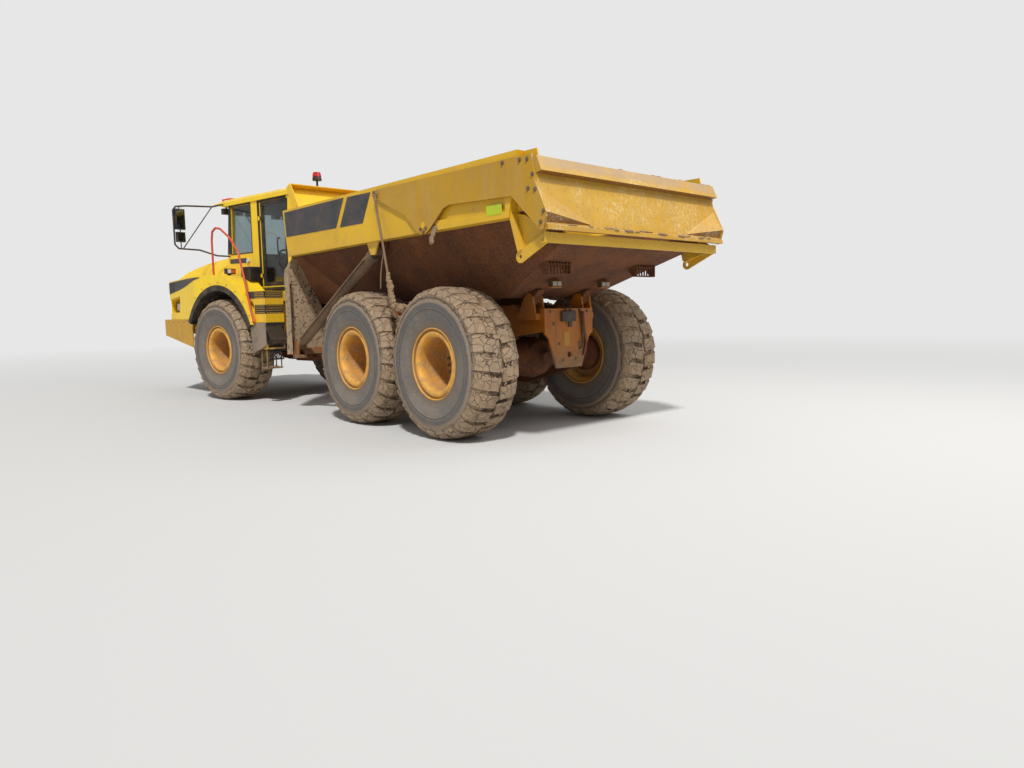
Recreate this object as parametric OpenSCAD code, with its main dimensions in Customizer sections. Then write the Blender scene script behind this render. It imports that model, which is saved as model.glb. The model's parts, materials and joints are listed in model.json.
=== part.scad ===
// Articulated six-wheel dump truck, parked empty with its front unit steered a little to the left.
// Millimetres. +X forward, +Y left, +Z up. The origin is on the floor under the middle of the whole truck.
// Rear pieces are drawn from the first bogie axle, front pieces from the steering hinge.

/* [Running gear] */
// Radius over the lugs, which is also the height of the wheel centres
tyre_r = 808; // [760:1:850]
// Width of a tyre
tyre_w = 600; // [540:5:640]
// Depth of the tread lugs
lug_h = 38; // [20:1:50]
// Lugs round each shoulder
lug_count = 26; // [18:2:32]
// Distance between left and right wheel centres
track = 2258; // [2200:2:2300]
// Radius of the bead seat
rim_r = 318; // [300:1:330]
// Width over the rim flanges
rim_w = 495; // [450:5:520]
// Steering hinge to the front axle
front_axle_x = 1210; // [1150:5:1300]
// First bogie axle to the steering hinge
hinge_x = 2965; // [2900:5:3100]
// First to second bogie axle
bogie_gap = 1670; // [1660:5:1720]

/* [Parking] */
// Steering angle at rest, left positive
steer_parked = 9; // [-30:1:30]

/* [Body] */
// Half width over the body sides
bed_half = 1350; // [1300:5:1380]
// Half width of the flat floor
floor_half = 640; // [600:5:680]
// Height of the underside of the flat floor
floor_z = 1490; // [1470:5:1560]
// Height of the lower edge of the body sides
side_low = 2150; // [2100:5:2200]
// Height of the top edge of the body sides
side_top = 2775; // [2700:5:2850]
// Front wall, from the first bogie axle
bed_front = 1800; // [1750:5:1850]
// Front end of the flat floor
floor_front = 1050; // [900:10:1200]
// Rear end of the flat floor
floor_rear = -2020; // [-2100:10:-1900]
// Rear lip of the floor
bed_rear = -3290; // [-3320:5:-3200]
// Height of the rear lip
lip_z = 2010; // [1980:5:2040]
// Thickness of the floor and wall plates
plate = 14; // [10:1:20]
// Thickness of the folded rails
rail_t = 12; // [8:1:16]
// Height of the tip hinge
tip_z = 1470; // [1465:5:1480]
// Tip hinge, from the first bogie axle
tip_x = -2150; // [-2160:5:-2120]

/* [Cab] */
// Half width of the cab
cab_half = 850; // [800:5:880]
// Cab front at the dash
cab_front = 1660; // [1600:5:1700]
// Cab rear wall
cab_rear = -60; // [-100:5:0]
// Cab floor
cab_floor = 1785; // [1750:5:1820]
// Underside of the roof
cab_top = 3165; // [3120:5:3200]
// Thickness of the cab walls and posts
cab_wall = 70; // [50:5:90]
// Thickness of the window panes
pane = 8; // [6:1:12]

/* [Front end] */
// Front face of the bumper
nose_x = 3974; // [3900:2:4000]
// Half width of the hood
hood_half = 900; // [850:5:950]
// Half width over the fenders
fender_half = 1380; // [1350:5:1400]
// Thickness of fender and hood sheet
sheet = 8; // [5:1:12]

/* [Hidden] */
$fn = 48;

// Paint and finishes, as the photograph shows them
yellow = "#e0a41c";
dark = "#3a3a3c";
mud = "#8a7458";
rubber = "#57534d";
steel = "#8b8b8b";
glass = "#9fb4bc80";
orange = "#d8502c";

// The truck's middle, from the first bogie axle and the centreline
nose_half = 560;
mirror_out = 1640;
mirror_x = 1990;
front_reach = hinge_x + nose_x * cos(steer_parked) + nose_half * abs(sin(steer_parked));
gate_back = -3370;
mid_x = (front_reach + gate_back) / 2;
left_reach = mirror_x * sin(steer_parked) + mirror_out * cos(steer_parked);
tyre_out = (track + tyre_w) / 2;
mid_y = (left_reach - tyre_out) / 2;

// Frames
rail_in = 310;
rail_out = 380;
rail_low = 1065;
rail_high = 1405;
run = 0.3;      // running gap of a pin or rod
side_gap = 6;   // gap beside an eye

// Places of the two unit frames
module rear() { translate([-mid_x, -mid_y, 0]) children(); }
module front() { rear() translate([hinge_x, 0, 0]) rotate([0, 0, steer_parked]) children(); }

// Both sides of the truck
module sides() { children(); mirror([0, 1, 0]) children(); }

// Plate with an outline in X and Z, from y to y + t
module side_plate(y, t) { translate([0, y + t, 0]) rotate([90, 0, 0]) linear_extrude(t) children(); }

// Plate with an outline in Y and Z, from x to x + t
module cross_plate(x, t) { translate([x, 0, 0]) rotate([90, 0, 90]) linear_extrude(t) children(); }

// Box from its lowest and highest corners
module block(a, b) { translate(a) cube(b - a); }

// Round bar along Y, centred on y = 0
module bar_y(p, r, len) { translate(p) rotate([90, 0, 0]) cylinder(h = len, r = r, center = true); }

// Round bar along X from p
module bar_x(p, r, len) { translate(p) rotate([0, 90, 0]) cylinder(h = len, r = r); }

function unit(v) = v / norm(v);

// Child's +Z turned to point from a to b, with its +Y as near as it can be to side
module aim(a, b, side = [0, 1, 0]) {
    w = unit(b - a);
    u = unit(cross(side, w));
    v = cross(w, u);
    multmatrix([[u.x, v.x, w.x, a.x], [u.y, v.y, w.y, a.y], [u.z, v.z, w.z, a.z]]) children();
}

// Bent tube through a list of points, swept with mitred rings of flat sides
function slid(p, d, c, n) = p + d * (((c - p) * n) / (d * n));
function swept(pts, ring, i) =
    i == len(pts) ? [] :
    let (
        d = unit(pts[i] - pts[i - 1]),
        n = i == len(pts) - 1 ? d : unit(d + unit(pts[i + 1] - pts[i])),
        next = [for (q = ring) slid(q, d, pts[i], n)]
    ) concat([next], swept(pts, next, i + 1));
module tube(pts, r, n = 8) {
    d = unit(pts[1] - pts[0]);
    u = unit(cross(abs(d.z) < 0.9 ? [0, 0, 1] : [1, 0, 0], d));
    v = cross(d, u);
    first = [for (k = [0:n - 1]) pts[0] + r * (cos(360 * k / n) * u + sin(360 * k / n) * v)];
    rings = concat([first], swept(pts, first, 1));
    m = len(rings);
    walls = [for (i = [0:m - 2], k = [0:n - 1])
        [i * n + k, (i + 1) * n + k, (i + 1) * n + (k + 1) % n, i * n + (k + 1) % n]];
    ends = [[for (k = [0:n - 1]) k], [for (k = [n - 1:-1:0]) (m - 1) * n + k]];
    polyhedron([for (ring = rings, q = ring) q], concat(walls, ends), convexity = 6);
}

// Wheels: name, axle's place from the first bogie axle or the hinge, side
wheel_z = tyre_r;
shoulder_w = tyre_w / 2;
groove_r = tyre_r - lug_h;
flange_r = rim_r + 63;

// Casing of a tyre, turned from its section: hollow, with its beads on the rim
casing_t = 45;
bead = rim_w / 2 - 24 - run;
module tyre_casing() {
    rotate_extrude($fn = 96) polygon([
        [rim_r + run, -bead], [flange_r + run, -bead - 12], [flange_r + 1, -rim_w / 2 - 12],
        [480, -shoulder_w + 22], [570, -shoulder_w + 2], [640, -shoulder_w], [705, -shoulder_w + 16],
        [groove_r - 22, -shoulder_w + 66], [groove_r, -shoulder_w + 140], [groove_r, shoulder_w - 140],
        [groove_r - 22, shoulder_w - 66], [705, shoulder_w - 16], [640, shoulder_w], [570, shoulder_w - 2],
        [480, shoulder_w - 22], [flange_r + 1, rim_w / 2 + 12], [flange_r + run, bead + 12],
        [rim_r + run, bead], [rim_r + run, bead - casing_t], [500, shoulder_w - 14 - casing_t],
        [640, shoulder_w - casing_t], [groove_r - 30 - casing_t, shoulder_w - 60 - casing_t],
        [groove_r - casing_t, shoulder_w - 150], [groove_r - casing_t, -shoulder_w + 150],
        [groove_r - 30 - casing_t, -shoulder_w + 60 + casing_t], [640, -shoulder_w + casing_t],
        [500, -shoulder_w + 14 + casing_t], [rim_r + run, -bead + casing_t]]);
}

// One shoulder lug: it rounds over the shoulder and lies askew, and its crown's corners reach the
// tyre's radius
lug_pitch = 360 / lug_count;
lug_skew = 9;
lug_root = lug_h + 75;
module tread_lug() {
    long = tyre_r * sin(lug_pitch) * 0.7;
    sink = tyre_r - sqrt(tyre_r * tyre_r - pow(long / 2 + 24, 2));
    translate([tyre_r - lug_root - sink, 0, 0]) rotate([lug_skew, 0, 0]) translate([0, long / 2, 0])
        rotate([90, 0, 0]) linear_extrude(long) polygon([[lug_root - lug_h - 12, 14], [lug_root, 14],
            [lug_root, shoulder_w - 150], [lug_root - 22, shoulder_w - 62],
            [lug_root - 70, shoulder_w - 16],
            [0, shoulder_w - 8], [0, shoulder_w - 55], [45, shoulder_w - 160]]);
}

// A tyre about its own axle, with its two rows of lugs half a pitch apart
module tyre(turn = 0) {
    color(rubber) rotate([90, 0, 0]) rotate([0, 0, turn - 90]) union() {
        tyre_casing();
        for (k = [0:lug_count - 1]) rotate([0, 0, k * lug_pitch]) tread_lug();
        for (k = [0:lug_count - 1]) rotate([0, 0, (k + 0.5) * lug_pitch]) mirror([0, 0, 1]) tread_lug();
    }
}

// Rim about its own axle, open side towards +Y: barrel, two flanges, dished disc and planetary hub
disc_y = -60;
hub_r = 225;
module rim() {
    color(yellow) rotate([-90, 0, 0]) union() {
        rotate_extrude($fn = 96) polygon([
            [rim_r - 16, -rim_w / 2 - 14], [flange_r - 14, -rim_w / 2 - 14], [flange_r, -rim_w / 2],
            [flange_r, -rim_w / 2 + 12], [rim_r, -rim_w / 2 + 24], [rim_r, rim_w / 2 - 24],
            [flange_r, rim_w / 2 - 12], [flange_r, rim_w / 2], [flange_r - 14, rim_w / 2 + 14],
            [rim_r - 16, rim_w / 2 + 14]]);
        rotate_extrude($fn = 96) polygon([
            [0, disc_y - 70], [hub_r + 30, disc_y - 70], [hub_r + 30, disc_y - 12],
            [rim_r - 10, disc_y + 10], [rim_r - 10, disc_y + 34], [hub_r, disc_y + 14],
            [hub_r, disc_y + 50], [hub_r - 30, disc_y + 80], [110, disc_y + 95], [105, disc_y + 150],
            [80, disc_y + 165], [0, disc_y + 165]]);
        for (k = [0:11]) rotate([0, 0, k * 30]) translate([hub_r + 38, 0, disc_y + 10])
            cylinder(h = 26, r = 15, $fn = 6);
    }
}

// Wheel places: axle from the first bogie axle
module rear_wheel(x, side) { rear() translate([x, side * track / 2, wheel_z]) children(); }
module front_wheel(side) { front() translate([front_axle_x, side * track / 2, wheel_z]) children(); }
module outwards(side) { if (side > 0) children(); else mirror([0, 1, 0]) children(); }

module tyre_front_left() { front_wheel(1) tyre(); }
module tyre_front_right() { front_wheel(-1) tyre(); }
module tyre_mid_left() { rear_wheel(0, 1) tyre(); }
module tyre_mid_right() { rear_wheel(0, -1) tyre(); }
module tyre_rear_left() { rear_wheel(-bogie_gap, 1) tyre(); }
module tyre_rear_right() { rear_wheel(-bogie_gap, -1) tyre(); }
module rim_front_left() { front_wheel(1) outwards(1) rim(); }
module rim_front_right() { front_wheel(-1) outwards(-1) rim(); }
module rim_mid_left() { rear_wheel(0, 1) outwards(1) rim(); }
module rim_mid_right() { rear_wheel(0, -1) outwards(-1) rim(); }
module rim_rear_left() { rear_wheel(-bogie_gap, 1) outwards(1) rim(); }
module rim_rear_right() { rear_wheel(-bogie_gap, -1) outwards(-1) rim(); }

// Axles: a tube with a round final drive, a brake drum flange at each end and a suspension lug
axle_end = track / 2 + disc_y - 70 - run;
module axle_housing() {
    union() {
        rotate([90, 0, 0]) rotate_extrude() polygon([
            [0, -axle_end], [215, -axle_end], [215, -axle_end + 60], [190, -axle_end + 110],
            [120, -axle_end + 130], [105, -430], [130, -300], [200, -180], [225, -70], [225, 70],
            [200, 180], [130, 300], [105, 430], [120, axle_end - 130], [190, axle_end - 110],
            [215, axle_end - 60], [215, axle_end], [0, axle_end]]);
        rotate([0, 90, 0]) rotate_extrude() polygon([
            [0, -300], [70, -300], [90, -250], [190, -190], [235, -60], [235, 60], [190, 190],
            [90, 250], [70, 300], [0, 300]]);
    }
}

// Bogie: two axles hung on a pair of walking beams that swing on the cross shaft under the frame
beam_y = 560;
beam_z = 560;
module rear_axles() rear() color(yellow) {
    for (x = [0, -bogie_gap]) translate([x, 0, wheel_z]) axle_housing();
    sides() difference() {
        side_plate(beam_y - 45, 90) polygon([
            [170, wheel_z - 90], [150, wheel_z - 160], [-bogie_gap / 2 + 240, beam_z - 130],
            [-bogie_gap / 2 - 240, beam_z - 130], [-bogie_gap - 150, wheel_z - 160],
            [-bogie_gap - 170, wheel_z - 90], [-bogie_gap - 60, wheel_z + 60],
            [-bogie_gap + 160, wheel_z - 70], [-bogie_gap / 2 - 200, beam_z + 120],
            [-bogie_gap / 2 + 200, beam_z + 120], [-160, wheel_z - 70], [60, wheel_z + 60]]);
        bar_y([-bogie_gap / 2, beam_y, beam_z], 70, 120);
    }
    // Propeller shaft between the axles
    translate([-300, 0, wheel_z]) rotate([0, -90, 0]) cylinder(h = bogie_gap - 600, r = 55);
    // Shaft forward to the roll bearing
    bar_x([290, 0, wheel_z], 55, rail_front - 60 - run - 290);
}

// Rear frame: two deep rails that draw together at the front into the roll bearing housing
rail_rear = -2290;
rail_front = 1750;
neck_half = 190;
roll_z = 950;
roll_x = 2420;
roll_r = 210;
ear_t = 25;
end_top = 1365;
end_t = 25;
lower_eye = [1700, 1250, 911];
upper_eye = [-440, 1250, 2080];
rope_foot = [-985, 1405, 1395];
eye_half = 40;    // half length of a tip cylinder's eyes
eye_pin = 30;
module rail_outline() polygon([
    [rail_rear + 420, rail_high], [rail_rear + 370, end_top], [rail_rear, end_top], [rail_rear, 1120],
    [rail_rear + 500, rail_low], [rail_front - 500, rail_low], [rail_front, 840],
    [rail_front, rail_high - 120], [rail_front - 350, rail_high]]);
module rear_frame() rear() color(yellow) {
    difference() {
        union() {
            sides() side_plate(rail_in, rail_out - rail_in) rail_outline();
            // Cross members
            for (x = [-1850, -bogie_gap / 2 - 60, 300, 1250])
                block([x, -rail_in, rail_low + 40], [x + 120, rail_in, rail_high - 60]);
            // Converging neck and roll bearing housing
            sides() neck();
            bar_x([roll_x - 420, 0, roll_z], roll_r, 420);
            block([rail_front - 60, -rail_out, 800], [rail_front, rail_out, rail_high - 125]);
        }
        bar_x([roll_x - 421, 0, roll_z], 120 + run, 430);
    }
    // Rubber pads that the body lies on
    for (x = [-1250, 900]) sides() block([x, rail_in, rail_high], [x + 160, rail_out, floor_z - run]);
    // Rear end plate, narrow at the foot, with its tow pin hole
    difference() {
        cross_plate(rail_rear - end_t, end_t) polygon([[-rail_out, end_top], [-rail_out, 1100],
            [-320, 1050],
            [-200, 715], [200, 715], [320, 1050], [rail_out, 1100], [rail_out, end_top]]);
        bar_x([rail_rear - 40, 0, 860], 32, 60);
    }
    // Bogie cross shaft, carried by a saddle under each rail
    bar_y([-bogie_gap / 2, 0, beam_z], 70 - run, 2 * beam_y + 150);
    sides() side_plate(rail_in, rail_out - rail_in) polygon([
        [-bogie_gap / 2 - 260, rail_low + 10], [-bogie_gap / 2 - 110, beam_z - 90],
        [-bogie_gap / 2 + 110, beam_z - 90], [-bogie_gap / 2 + 260, rail_low + 10]]);
    // Ears and pin of the tip hinge, one pair on each rail
    sides() {
        for (y = [lug_in - side_gap - ear_t, lug_out + side_gap]) side_plate(y, ear_t) tip_ear_outline();
        bar_y([tip_x, (lug_in + lug_out) / 2, tip_z], pin_r, lug_out - lug_in + 2 * side_gap + 2 * ear_t);
        block([tip_x - 110, rail_out - 10, end_top - 120],
            [tip_x + 200, lug_out + side_gap + ear_t, end_top - 50]);
    }
    // Outriggers that carry the feet of the tip cylinders, each between two ears on a pin
    sides() {
        for (y = [lower_eye.y - eye_half - side_gap - ear_t, lower_eye.y + eye_half + side_gap])
            side_plate(y, ear_t) polygon([[lower_eye.x - 80, lower_eye.z - 165],
                [lower_eye.x + 80, lower_eye.z - 165], [lower_eye.x + 80, lower_eye.z + 30],
                [lower_eye.x + 50, lower_eye.z + 68], [lower_eye.x - 50, lower_eye.z + 68],
                [lower_eye.x - 80, lower_eye.z + 20]]);
        bar_y(lower_eye, eye_pin, 2 * (eye_half + side_gap + ear_t));
        block([lower_eye.x - 80, lower_eye.y - eye_half - side_gap - ear_t, lower_eye.z - 165],
            [lower_eye.x + 80, lower_eye.y + eye_half + side_gap + ear_t, lower_eye.z - 120]);
        block([lower_eye.x - 60, rail_in + 20, 800], [rail_front,
            lower_eye.y - eye_half - side_gap - 10, 880]);
    }
    // Arms between the wheels that the gate ropes are tied to, with a pin at the end
    sides() {
        block([rope_foot.x - 30, rail_out - 10, rope_foot.z - 75],
            [rope_foot.x + 30, rope_foot.y - 50, rope_foot.z - 20]);
        side_plate(rope_foot.y - 50, 20) polygon([[rope_foot.x - 30, rope_foot.z - 75],
            [rope_foot.x + 30, rope_foot.z - 75], [rope_foot.x + 30, rope_foot.z + 30],
            [rope_foot.x - 30, rope_foot.z + 30]]);
        bar_y([rope_foot.x, rope_foot.y - 10, rope_foot.z], 14, 60);
    }
}

function neck_out(x) = rail_out
    + (neck_half + 20 - rail_out) * (x - rail_front + 30) / (roll_x - 80 - rail_front + 30);
module neck() {
    translate([0, 0, roll_z - 110]) linear_extrude(rail_high - 125 - roll_z + 110) polygon([
        [rail_front - 30, rail_out], [roll_x - 80, neck_half + 20], [roll_x - 80, neck_half - 50],
        [rail_front - 30, rail_in - 20]]);
}
lug_in = rail_in + 21;
lug_out = rail_out + 46;
pin_r = 38;
module tip_ear_outline() polygon([
    [tip_x - 110, end_top - 120], [tip_x - 65, tip_z + 25], [tip_x - 25, tip_z + 62],
    [tip_x + 25, tip_z + 62], [tip_x + 65, tip_z + 25], [tip_x + 200, end_top - 120]]);

// Mud guards ahead of the bogie: a flap on each side with a folded outer edge, hung from a bracket on
// the rail
flap_x = 1790;
flap_t = 16;
module mud_guards() rear() color(mud) sides() {
    cross_plate(flap_x, flap_t) polygon([[800, 787], [1388, 796], [1370, 1965], [1260, 2120],
        [1190, 2120], [734, 1254]]);
    block([flap_x - 130, 1372, 800], [flap_x + 1, 1388, 1930]);
    // Bracket from the frame's neck to the flap, on its front side
    block([flap_x + flap_t - 1, neck_out(flap_x + flap_t) + run, 1150], [flap_x + 76, 1330, 1210]);
    block([flap_x + flap_t - 1, 1240, 1150], [flap_x + 76, 1300, 2050]);
}

// Load box: a side outline through a trough section, both drawn in by t for the inside
inner_half = bed_half - 105;
slant_top = 2300;
function box_side(t, up) = [
    [bed_front - t, side_top + up], [bed_front - 60 - t, side_low],
    [floor_front - t * 0.42, floor_z + t], [floor_rear + t * 0.2, floor_z + t],
    [bed_rear - (t > 0 ? 60 : 0), lip_z + t * 1.08 + (t > 0 ? 25 : 0)],
    [bed_rear + 150 - (t > 0 ? 210 : 0), side_top + up]];
function box_section(t, up) = [
    [floor_half + 0.45 * t, floor_z + t], [inner_half + 14 - t, slant_top],
    [inner_half + 14 - t, side_top + up], [-inner_half - 14 + t, side_top + up],
    [-inner_half - 14 + t, slant_top], [-floor_half - 0.45 * t, floor_z + t]];
module trough(t, up) intersection() {
    side_plate(-bed_half, 2 * bed_half) polygon(box_side(t, up));
    cross_plate(bed_rear - 100, bed_front - bed_rear + 200) polygon(box_section(t, up));
}

// Side rail: a closed box outside the load box's wall, from the front to the gate's corner
rail_end = bed_rear + 437;
module rail_form(t) polygon([[bed_front + 20 - t, side_top - t], [bed_front - 90 - t, side_low + t],
    [rail_end + t, side_low + 45 + t], [rail_end - 130 + t, side_top - t]]);
// Recess in the rail's outer face behind the gate's arm, grown by g
recess_t = 20;
module rail_recess(g) polygon([[-1690 + g, 2285 - g], [rail_end + 45 - g, 2252 - g],
    [rail_end + 45 - g, 2400 + g],
    [-2000, 2440 + g], [-1690 + g, 2440 + g]]);
module side_rail() difference() {
    side_plate(inner_half - 105, bed_half - inner_half + 105) rail_form(0);
    difference() {
        intersection() {
            side_plate(inner_half - 60, bed_half - inner_half + 60 - rail_t) rail_form(rail_t);
            cross_plate(rail_end - 200, bed_front - rail_end + 300) polygon([[inner_half - 60, side_low],
                [bed_half, side_low], [bed_half, side_top], [inner_half + 10, side_top],
                [inner_half + 10, slant_top]]);
        }
        side_plate(bed_half - recess_t - rail_t, 60) rail_recess(rail_t);
    }
    side_plate(bed_half - recess_t, 60) rail_recess(0);
    trough(plate, 50);
}

// Rear corner of the load box: a sunk panel, the flange ahead of it and the ear below with its round end
ear_hole = [bed_rear + 338, lip_z - 172];
ear_y = bed_half - 60;
module rear_corner() {
    side_plate(inner_half - 10, 24) polygon([[rail_end + 20, side_low + 92],
        [ear_hole.x + 20, ear_hole.y + 40],
        [bed_rear + 4, lip_z - 60], [bed_rear + 4, lip_z + 16], [rail_end - 126, side_low + 60]]);
    side_plate(ear_y, 14) difference() {
        union() {
            translate(ear_hole) circle(r = 56);
            polygon([[ear_hole.x + 24, ear_hole.y + 50], [bed_rear, lip_z + 25],
                [bed_rear - 10, lip_z - 70],
                [ear_hole.x - 24, ear_hole.y - 50]]);
        }
        translate(ear_hole) circle(r = 20);
    }
    side_plate(inner_half - 10, ear_y + 14 - inner_half + 10) polygon([[ear_hole.x + 10, ear_hole.y + 30],
        [bed_rear, lip_z + 5], [bed_rear, lip_z - 9], [ear_hole.x + 16, ear_hole.y + 18]]);
    side_plate(inner_half - 10, 90) polygon([[rail_end + 32, side_low + 90], [rail_end - 12, side_low + 98],
        [ear_hole.x - 30, ear_hole.y + 62], [ear_hole.x + 14, ear_hole.y + 44]]);
}

module bed() rear() color(yellow) difference() {
    union() {
        difference() {
            trough(0, 0);
            trough(plate, 50);
        }
        sides() side_rail();
        sides() rear_corner();
        // Rolled lip across the rear edge of the floor
        side_plate(-1330, 2660) polygon([[bed_rear, lip_z + 20], [bed_rear - 14, lip_z + 20],
            [bed_rear - 14, lip_z - 70], [bed_rear + 60, lip_z - 70], [bed_rear + 60, lip_z - 56],
            [bed_rear, lip_z - 56]]);
        // Lugs of the tip hinge
        sides() side_plate(lug_in, lug_out - lug_in) tip_lug_outline();
        // Cross beams under the floor, clear of the rails when the body lies on its pads
        for (x = [-1400, -500, 400]) block([x, -330, floor_z - 70], [x + 90, 330, floor_z + 5]);
        // Brackets of the tip cylinders, under the rails
        sides() {
            for (y = [upper_eye.y - eye_half - side_gap - 20, upper_eye.y + eye_half + side_gap])
                side_plate(y, 20) upper_ear_outline();
            bar_y(upper_eye, eye_pin, 2 * (eye_half + side_gap + 20));
        }
        // Lamp guards under the rear
        sides() lamp_guard();
        gate_pins();
    }
    sides() bar_y([tip_x, (lug_in + lug_out) / 2, tip_z], pin_r + run, 300);
}
module tip_lug_outline() {
    translate([tip_x, tip_z]) circle(r = 65);
    polygon([[tip_x - 60, tip_z + 20], [tip_x - 120, floor_z + 64], [tip_x - 120, floor_z + 75],
        [floor_rear + 200, floor_z + 5], [tip_x + 64, tip_z - 5]]);
}
module upper_ear_outline() polygon([
    [upper_eye.x - 130, side_low + 28], [upper_eye.x - 45, upper_eye.z - 55],
    [upper_eye.x + 45, upper_eye.z - 55],
    [upper_eye.x + 130, side_low + 28]]);
guard_x = bed_rear + 450;
function belly(x) = floor_z + (floor_rear - x) * (lip_z - floor_z) / (floor_rear - bed_rear);
module lamp_guard() {
    for (z = [1695, 1790]) block([guard_x, 520, z], [guard_x + 60, 845, z + 12]);
    for (k = [0:7]) block([guard_x, 520 + k * 44, 1695], [guard_x + 12, 532 + k * 44, belly(guard_x) + 3]);
    for (y = [520, 833]) side_plate(y, 12) polygon([[guard_x, 1695], [guard_x, belly(guard_x) + 4],
        [guard_x + 130, belly(guard_x + 130) + 4], [guard_x + 60, 1695]]);
}

// Spill guard on the front wall, leaning over the cab's back, with a folded top edge
guard_top = 3170;
module bed_guard() rear() color(yellow) {
    side_plate(-1200, 2400) polygon([[bed_front - 30, side_top + run], [bed_front, side_top + run],
        [bed_front + 190, guard_top - 40], [bed_front + 60, guard_top], [bed_front + 60, guard_top - 12],
        [bed_front + 170, guard_top - 48]]);
    sides() side_plate(1188, 12) polygon([[bed_front - 30, side_top + run],
        [bed_front - 200, side_top + run],
        [bed_front + 60, guard_top - 12], [bed_front + 172, guard_top - 46]]);
    for (y = [-600, 0, 600]) side_plate(y - 5, 10) polygon([[bed_front, side_top + run],
        [bed_front + 60, side_top + run], [bed_front + 172, guard_top - 60]]);
}

// Tailgate: two outside arms that turn on a lobe low on the body sides, and an inclined panel between them
gate_pivot = [-1548, 2250];
gate_pin = 34;
arm_y = bed_half + 6;
arm_t = 22;
arm_front = [-668, 2686];
gate_top = 2705;
gate_low = 2044;
module arm_outline() union() {
    polygon([[-620, 2640], [-640, 2730], [bed_rear + 100, gate_top], [bed_rear + 60, 2470],
        [bed_rear - 80, 2190], [bed_rear - 40, gate_low], [bed_rear, gate_low], [-2922, 2375],
        [-2000, 2407], [-1900, 2380], [-1780, 2290], [-1650, 2190],
        [-1580, 2160], [-1510, 2160], [-1440, 2190], [-1320, 2300], [-1220, 2390], [-1133, 2424]]);
}
function gate_x(z) = bed_rear + 100 - (gate_top - z) * 140 / (gate_top - gate_low);
module tailgate() rear() color(yellow) {
    sides() difference() {
        side_plate(arm_y, arm_t) arm_outline();
        translate([gate_pivot.x, 0, gate_pivot.y]) rotate([90, 0, 0])
            cylinder(h = 4000, r = gate_pin + run, center = true);
    }
    sides() bar_y([arm_front.x, arm_y + arm_t + 2, arm_front.y], 14, 22);
    // Panel, folded along a boxed top rail and a ledge, with a lip at the foot
    side_plate(-arm_y - 1, 2 * arm_y + 2) polygon([
        [gate_x(gate_top - 20), gate_top - 20], [gate_x(gate_top - 20) - 40, gate_top - 20],
        [gate_x(2552) - 74, 2552], [gate_x(2536) + 2, 2536], [gate_x(2400) + 2, 2400],
        [gate_x(2100) - 4, 2100],
        [gate_x(2085) - 50, 2085], [gate_x(gate_low) - 44, gate_low], [gate_x(gate_low) + 8, gate_low],
        [gate_x(2400) + 14, 2400], [gate_x(2536) + 14, 2536]]);
    // Stiffeners at the lower corners
    sides() hull() {
        side_plate(arm_y - 12, 12) polygon([[gate_x(2400) - 3, 2400], [gate_x(2110) - 3, 2110],
            [bed_rear - 78, 2190]]);
        side_plate(760, 4) polygon([[gate_x(2130) - 3, 2130], [gate_x(2112) - 3, 2112],
            [gate_x(2120) - 8, 2120]]);
    }
}
// The pin that carries an arm stands out of the side rail
module gate_pins() sides() bar_y([gate_pivot.x, bed_half + arm_t / 2, gate_pivot.y], gate_pin,
    arm_t + 2 * 10);

// Tip cylinders: a barrel with its eye on the frame's pin, and a rod with its eye on the body's pin
barrel_r = 70;
rod_r = 36;
function mirror_y(p) = [p.x, -p.y, p.z];
tip_closed = norm(upper_eye - lower_eye);
barrel_len = tip_closed - 80;
neck_len = 170;
module tip_axis(side) { aim(side > 0 ? lower_eye : mirror_y(lower_eye),
    side > 0 ? upper_eye : mirror_y(upper_eye)) children(); }
module tip_barrel() {
    difference() {
        union() {
            translate([0, 0, neck_len]) cylinder(h = barrel_len - neck_len, r = barrel_r);
            translate([0, 0, barrel_len - 60]) cylinder(h = 60, r = barrel_r + 8);
            cylinder(h = neck_len + 5, r = eye_half - 2);
            rotate([90, 0, 0]) cylinder(h = 2 * eye_half, r = 62, center = true);
        }
        translate([0, 0, rod_start]) cylinder(h = barrel_len, r = rod_r + run);
        rotate([90, 0, 0]) cylinder(h = 3 * eye_half, r = eye_pin + run, center = true);
    }
    // Oil pipe along the barrel
    translate([0, barrel_r + 12, neck_len + 50]) cylinder(h = barrel_len - neck_len - 160, r = 10);
    for (z = [neck_len + 60, barrel_len - 130])
        translate([0, barrel_r - 20, z]) rotate([-90, 0, 0]) cylinder(h = 42, r = 14);
}
rod_start = 90;
module tip_rod() {
    translate([0, 0, rod_start + 10]) cylinder(h = tip_closed - rod_start - 50, r = rod_r);
    translate([0, 0, tip_closed]) rotate([90, 0, 0]) difference() {
        cylinder(h = 2 * eye_half, r = 58, center = true);
        cylinder(h = 3 * eye_half, r = eye_pin + run, center = true);
    }
}
module tip_barrel_left() rear() color(steel) tip_axis(1) tip_barrel();
module tip_barrel_right() rear() color(steel) tip_axis(-1) tip_barrel();
module tip_rod_left() rear() color(steel) tip_axis(1) tip_rod();
module tip_rod_right() rear() color(steel) tip_axis(-1) tip_rod();

// Ropes that pull the gate open as the body tips, each a straight strand with an eye at both ends
rope_r = 13;
module gate_ropes() rear() color(mud) sides() {
    a = [rope_foot.x, rope_foot.y + 2, rope_foot.z];
    b = [arm_front.x, rope_foot.y + 2, arm_front.y];
    for (p = [a, b]) translate(p) rotate([90, 0, 0]) difference() {
        cylinder(h = 20, r = 30, center = true);
        cylinder(h = 30, r = 14 + run, center = true);
    }
    aim(a, b) translate([0, 0, 26]) cylinder(h = norm(b - a) - 52, r = rope_r);
}

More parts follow.
